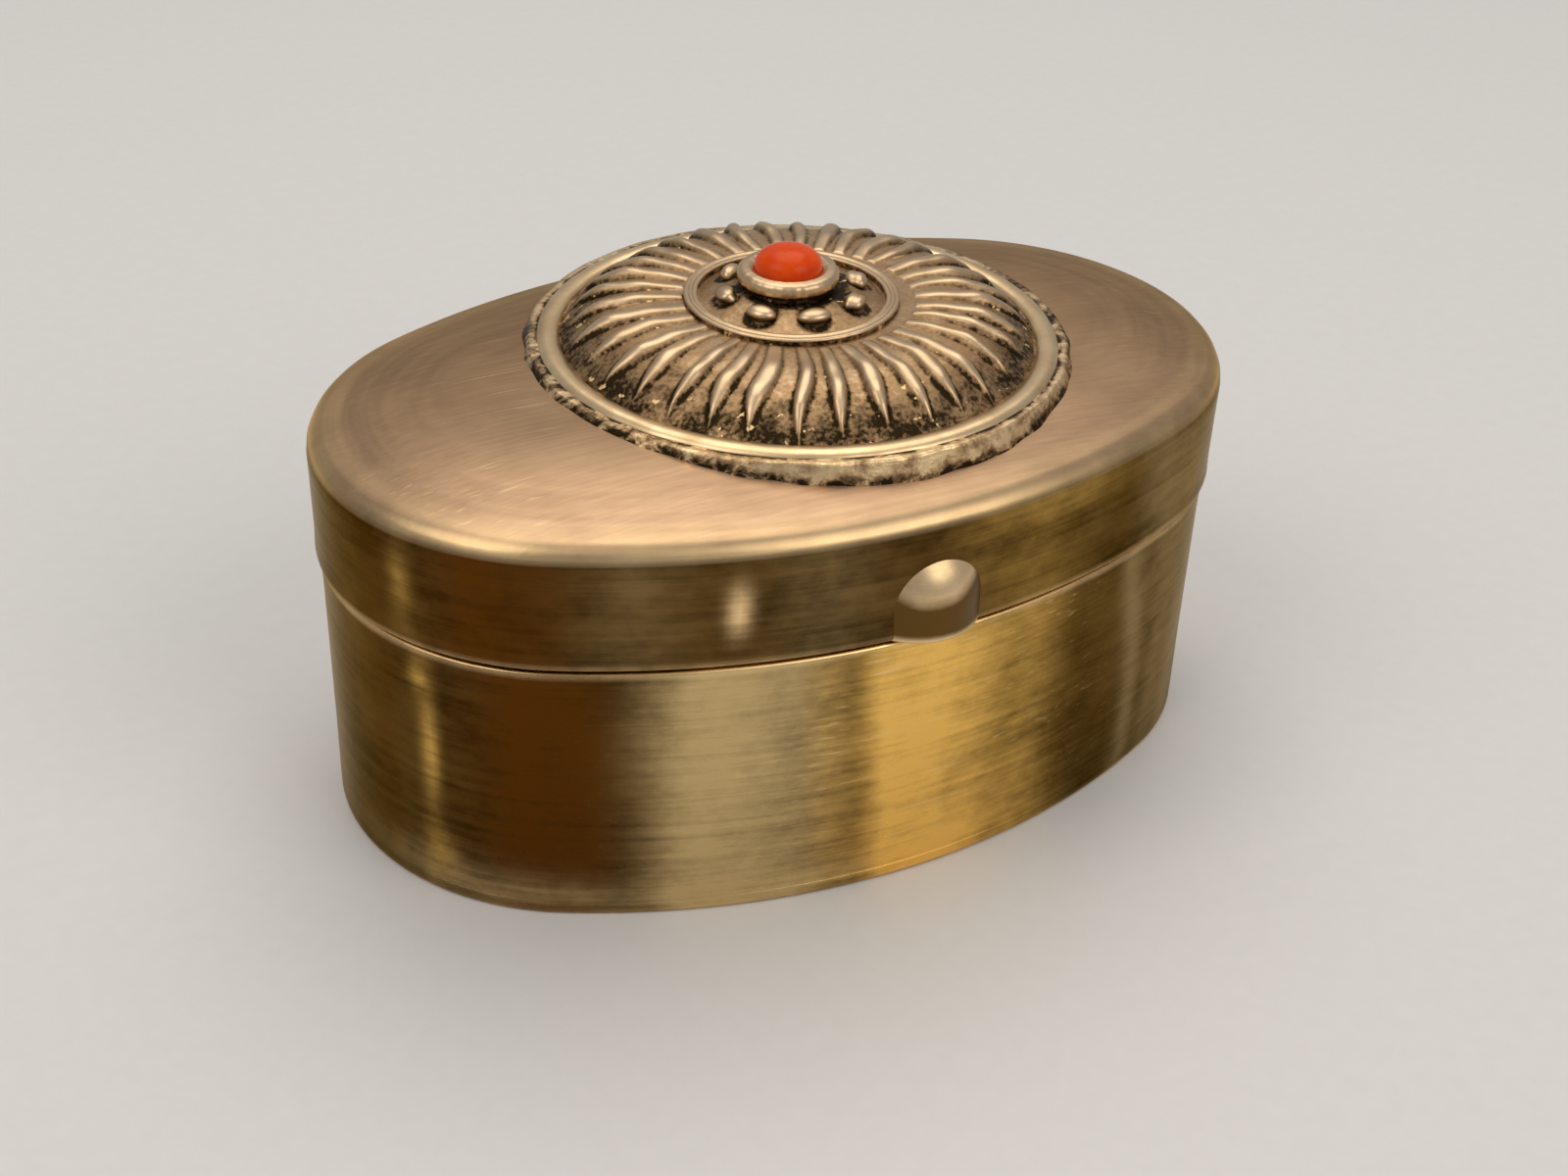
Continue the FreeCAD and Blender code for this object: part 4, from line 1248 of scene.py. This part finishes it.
bezel_centre = (bezel_high[:2] + bezel_low[:2]) / 2
bezel_radius = (bezel_high[0] - bezel_low[0]) / 2
stone_radius = (stone_high[0] - stone_low[0]) / 2
NECK_INSET = 0.3 * MM
NECK_HEIGHT = 0.3 * MM
STONE_LEDGE = 0.5 * MM
STONE_PLAY = 0.02 * MM
GIRDLE_SHARE = 0.4
CABOCHON_CURVE = 0.86
STONE_INNER = 0.6

# Roundings of the bezel, and how far its burnished lip reaches and falls towards the stone
NECK_ROUND = 0.05 * MM
BEZEL_FOOT_ROUND = 0.3 * MM
BEZEL_TOP_ROUND = 0.35 * MM
BEZEL_DROP = 0.1 * MM
BURNISH_REACH = 0.32 * MM
BURNISH_FALL = 0.14 * MM
BURNISH_ROUND = 0.15 * MM
BEZEL_WEAR = 0.035 * MM
BEZEL_SHADOW = 0.2 * MM
BEZEL_LIGHT, BEZEL_DARK = 0.05, 0.95


def make_bezel():
    """Fat rounded collar on a narrower neck, burnished in to the stone."""
    neck = bezel_radius - NECK_INSET
    step = boss_high[2] + NECK_HEIGHT
    top = bezel_high[2]
    profile = outline([
        (stone_radius - STONE_LEDGE, bezel_low[2], 0), (neck, bezel_low[2], 0), (neck, step, NECK_ROUND),
        (bezel_radius, step, BEZEL_FOOT_ROUND), (bezel_radius, top - BEZEL_DROP, BEZEL_TOP_ROUND),
        (stone_radius + BURNISH_REACH, top, BURNISH_ROUND),
        (stone_radius + STONE_PLAY, top - BURNISH_FALL, CRISP),
        (stone_radius + STONE_PLAY, stone_low[2], 0), (stone_radius - STONE_LEDGE, stone_low[2], 0),
    ], run=FINE_RUN)
    rings = uneven(turned(profile, bezel_centre, BEZEL_STEPS), BEZEL_WEAR, seed=21)
    # Painted shade on the neck and the foot of the collar, under its overhang.
    under = rings[..., 2] < step + BEZEL_SHADOW
    recess = np.where(under, BEZEL_DARK, BEZEL_LIGHT)
    add_chased("stone_collar", [grid_mesh(rings, "join")], "stone_bezel", recess.ravel())


def make_stone():
    """Cabochon: a straight girdle, then a dome that is flatter on top than a half ball."""
    girdle = stone_low[2] + GIRDLE_SHARE * (stone_high[2] - stone_low[2])
    turn = np.linspace(0, 0.25 * TAU, BALL_STEPS)
    level = girdle + (stone_high[2] - girdle) * np.sin(turn)
    dome = np.stack([stone_radius * np.cos(turn) ** CABOCHON_CURVE, level], -1)
    dome[-1, 0] = 0
    base = np.array([(share * stone_radius, stone_low[2]) for share in (0, STONE_INNER, 1)])
    rings = turned(np.concatenate([base, dome]), bezel_centre)
    add_piece("coral_stone", [grid_mesh(rings, "poles")], "lid", coral, ["coral_cabochon"])


# Hinge

def make_knuckles():
    """Tubes on the hinge's axis with softened mouths, each riding with its own body."""
    for body, names in KNUCKLE_NAMES.items():
        for name in names:
            low, high = corners_of(name)
            profile = outline([
                (KNUCKLE_BORE, low[0], BORE_ROUND), (KNUCKLE_RADIUS, low[0], KNUCKLE_ROUND),
                (KNUCKLE_RADIUS, high[0], KNUCKLE_ROUND), (KNUCKLE_BORE, high[0], BORE_ROUND),
            ], run=TUBE_RUN)
            skin = grid_mesh(turned_on_hinge(profile), "join")
            add_piece(name.replace("knuckle", "tube"), [skin], body, hinge_silver, [name])


PEEN_FLAT = 0.55
PEEN_SHOULDER = 0.6 * PIN_HEAD
PEEN_ROUND = 0.1 * MM


def make_pin():
    """Pin through the tubes with its two ends hammered to low domes."""
    left, right = pin_low[0], pin_high[0]
    head = (pin_high[1] - pin_low[1]) / 2
    flat = PEEN_FLAT * head
    profile = outline([
        (0, left, 0), (flat, left, PEEN_ROUND), (head, left + PEEN_SHOULDER, PEEN_ROUND),
        (head, left + PIN_HEAD, CRISP), (PIN_RADIUS, left + PIN_HEAD, 0),
        (PIN_RADIUS, right - PIN_HEAD, 0), (head, right - PIN_HEAD, CRISP),
        (head, right - PEEN_SHOULDER, PEEN_ROUND), (flat, right, PEEN_ROUND), (0, right, 0),
    ], closed=False, run=PIN_RUN)
    skin = grid_mesh(turned_on_hinge(profile), "poles")
    add_piece("pin", [skin], "base", hinge_silver, ["hinge_pin"])


make_base_floor()
make_base_wall()
make_base_lip()
make_lid()
make_knob()
make_collar()
make_rim()
make_dome()
make_ring()
make_boss()
make_beads()
make_bezel()
make_stone()
make_knuckles()
make_pin()
for bearer in ("base_hinge_bearer", "lid_hinge_bearer"):
    finishes = frame["nodes"][bearer].data.materials
    finishes.clear()
    finishes.append(hinge_silver)


# Floor, light and camera

PAPER = (0.74, 0.72, 0.69, 1)
PAPER_GRAIN = (0.72, 0.70, 0.67, 1)
PAPER_ROUGHNESS = 0.6
ROOM = (0.93, 0.95, 1.0, 1)
ROOM_STRENGTH = 0.36
STAGE_SIZE = 3.0
LAMP_DISTANCE = 0.5

# Each lamp as its name, azimuth and elevation in degrees, size in metres, power in watts and colour
LAMPS = [
    ("key_lamp", -80, 52, 0.3, 0.55, (1.0, 0.95, 0.88)),
    ("top_lamp", 152, 68, 0.4, 0.95, (1.0, 0.95, 0.88)),
    ("front_lamp", 26, 40, 0.3, 0.6, (1.0, 0.95, 0.89)),
]


def make_floor():
    """Plain pale sheet that the box stands on."""
    half = STAGE_SIZE / 2
    corners = np.array([(-half, -half, 0), (half, -half, 0), (half, half, 0), (-half, half, 0)])
    mesh = bpy.data.meshes.new("paper_floor")
    mesh.from_pydata(corners, [], [(0, 1, 2, 3)])
    material, tree, shader = new_finish("pale_paper")
    grain = noise(tree, (900, 900, 900), 3.0, 0.6)
    feed(tree, shader.inputs["Base Color"], blended(tree, ranged(tree, grain), PAPER, PAPER_GRAIN))
    shader.inputs["Roughness"].default_value = PAPER_ROUGHNESS
    mesh.materials.append(material)
    floor = bpy.data.objects.new("paper_floor", mesh)
    bpy.context.scene.collection.objects.link(floor)


def facing_axes(azimuth, elevation):
    """Right, up and back of a lamp or a camera that faces the box from an azimuth and elevation."""
    turn, lift = math.radians(azimuth), math.radians(elevation)
    right = np.array([math.cos(turn), math.sin(turn), 0])
    back = np.array([math.sin(turn) * math.cos(lift), -math.cos(turn) * math.cos(lift), math.sin(lift)])
    return right, np.cross(back, right), back


def set_up(name, data, axes, spot):
    """Puts a lamp or a camera into the scene at a spot, turned to its right, up and back axes."""
    item = bpy.data.objects.new(name, data)
    place = Matrix(np.stack(axes, 1).tolist()).to_4x4()
    place.translation = spot
    item.matrix_world = place
    bpy.context.scene.collection.objects.link(item)
    return item


def make_lamp(name, azimuth, elevation, size, power, colour):
    """Square soft lamp at an azimuth and elevation round the box, facing it."""
    right, up, back = facing_axes(azimuth, elevation)
    data = bpy.data.lights.new(name, "AREA")
    data.size = size
    data.energy = power
    data.color = colour
    set_up(name, data, [right, up, back], LAMP_DISTANCE * back)


def make_world():
    """Even pale surroundings."""
    world = bpy.data.worlds.new("pale_room")
    bpy.context.scene.world = world
    world.use_nodes = True
    ground = world.node_tree.nodes["Background"]
    ground.inputs["Color"].default_value = ROOM
    ground.inputs["Strength"].default_value = ROOM_STRENGTH


IMAGE_WIDTH = 1600
SENSOR_WIDTH = 36
FOCAL_PIXELS = 2200
CAMERA_AZIMUTH = -27.553
CAMERA_ELEVATION = 32.665
CAMERA_ROLL = 2.151
CAMERA_DISTANCE = 118.781 * MM
AIM_HEIGHT = 12.0 * MM
AIM_PIXELS = (-6.44, -59.849)


def make_camera():
    """Camera at the picture's angle: the aim lies AIM_PIXELS right of and below the picture's middle."""
    right, up, back = facing_axes(CAMERA_AZIMUTH, CAMERA_ELEVATION)
    roll = math.radians(CAMERA_ROLL)
    right, up = right * math.cos(roll) + up * math.sin(roll), up * math.cos(roll) - right * math.sin(roll)
    scale = CAMERA_DISTANCE / FOCAL_PIXELS
    aim = np.array([0, 0, AIM_HEIGHT])
    spot = aim - right * AIM_PIXELS[0] * scale + up * AIM_PIXELS[1] * scale + back * CAMERA_DISTANCE
    data = bpy.data.cameras.new("camera")
    data.sensor_width = SENSOR_WIDTH
    data.lens = data.sensor_width * FOCAL_PIXELS / IMAGE_WIDTH
    data.clip_start = MM
    bpy.context.scene.camera = set_up("camera", data, [right, up, back], spot)


make_floor()
for lamp in LAMPS:
    make_lamp(*lamp)
make_world()
make_camera()
bpy.context.scene.view_settings.view_transform = "Standard"
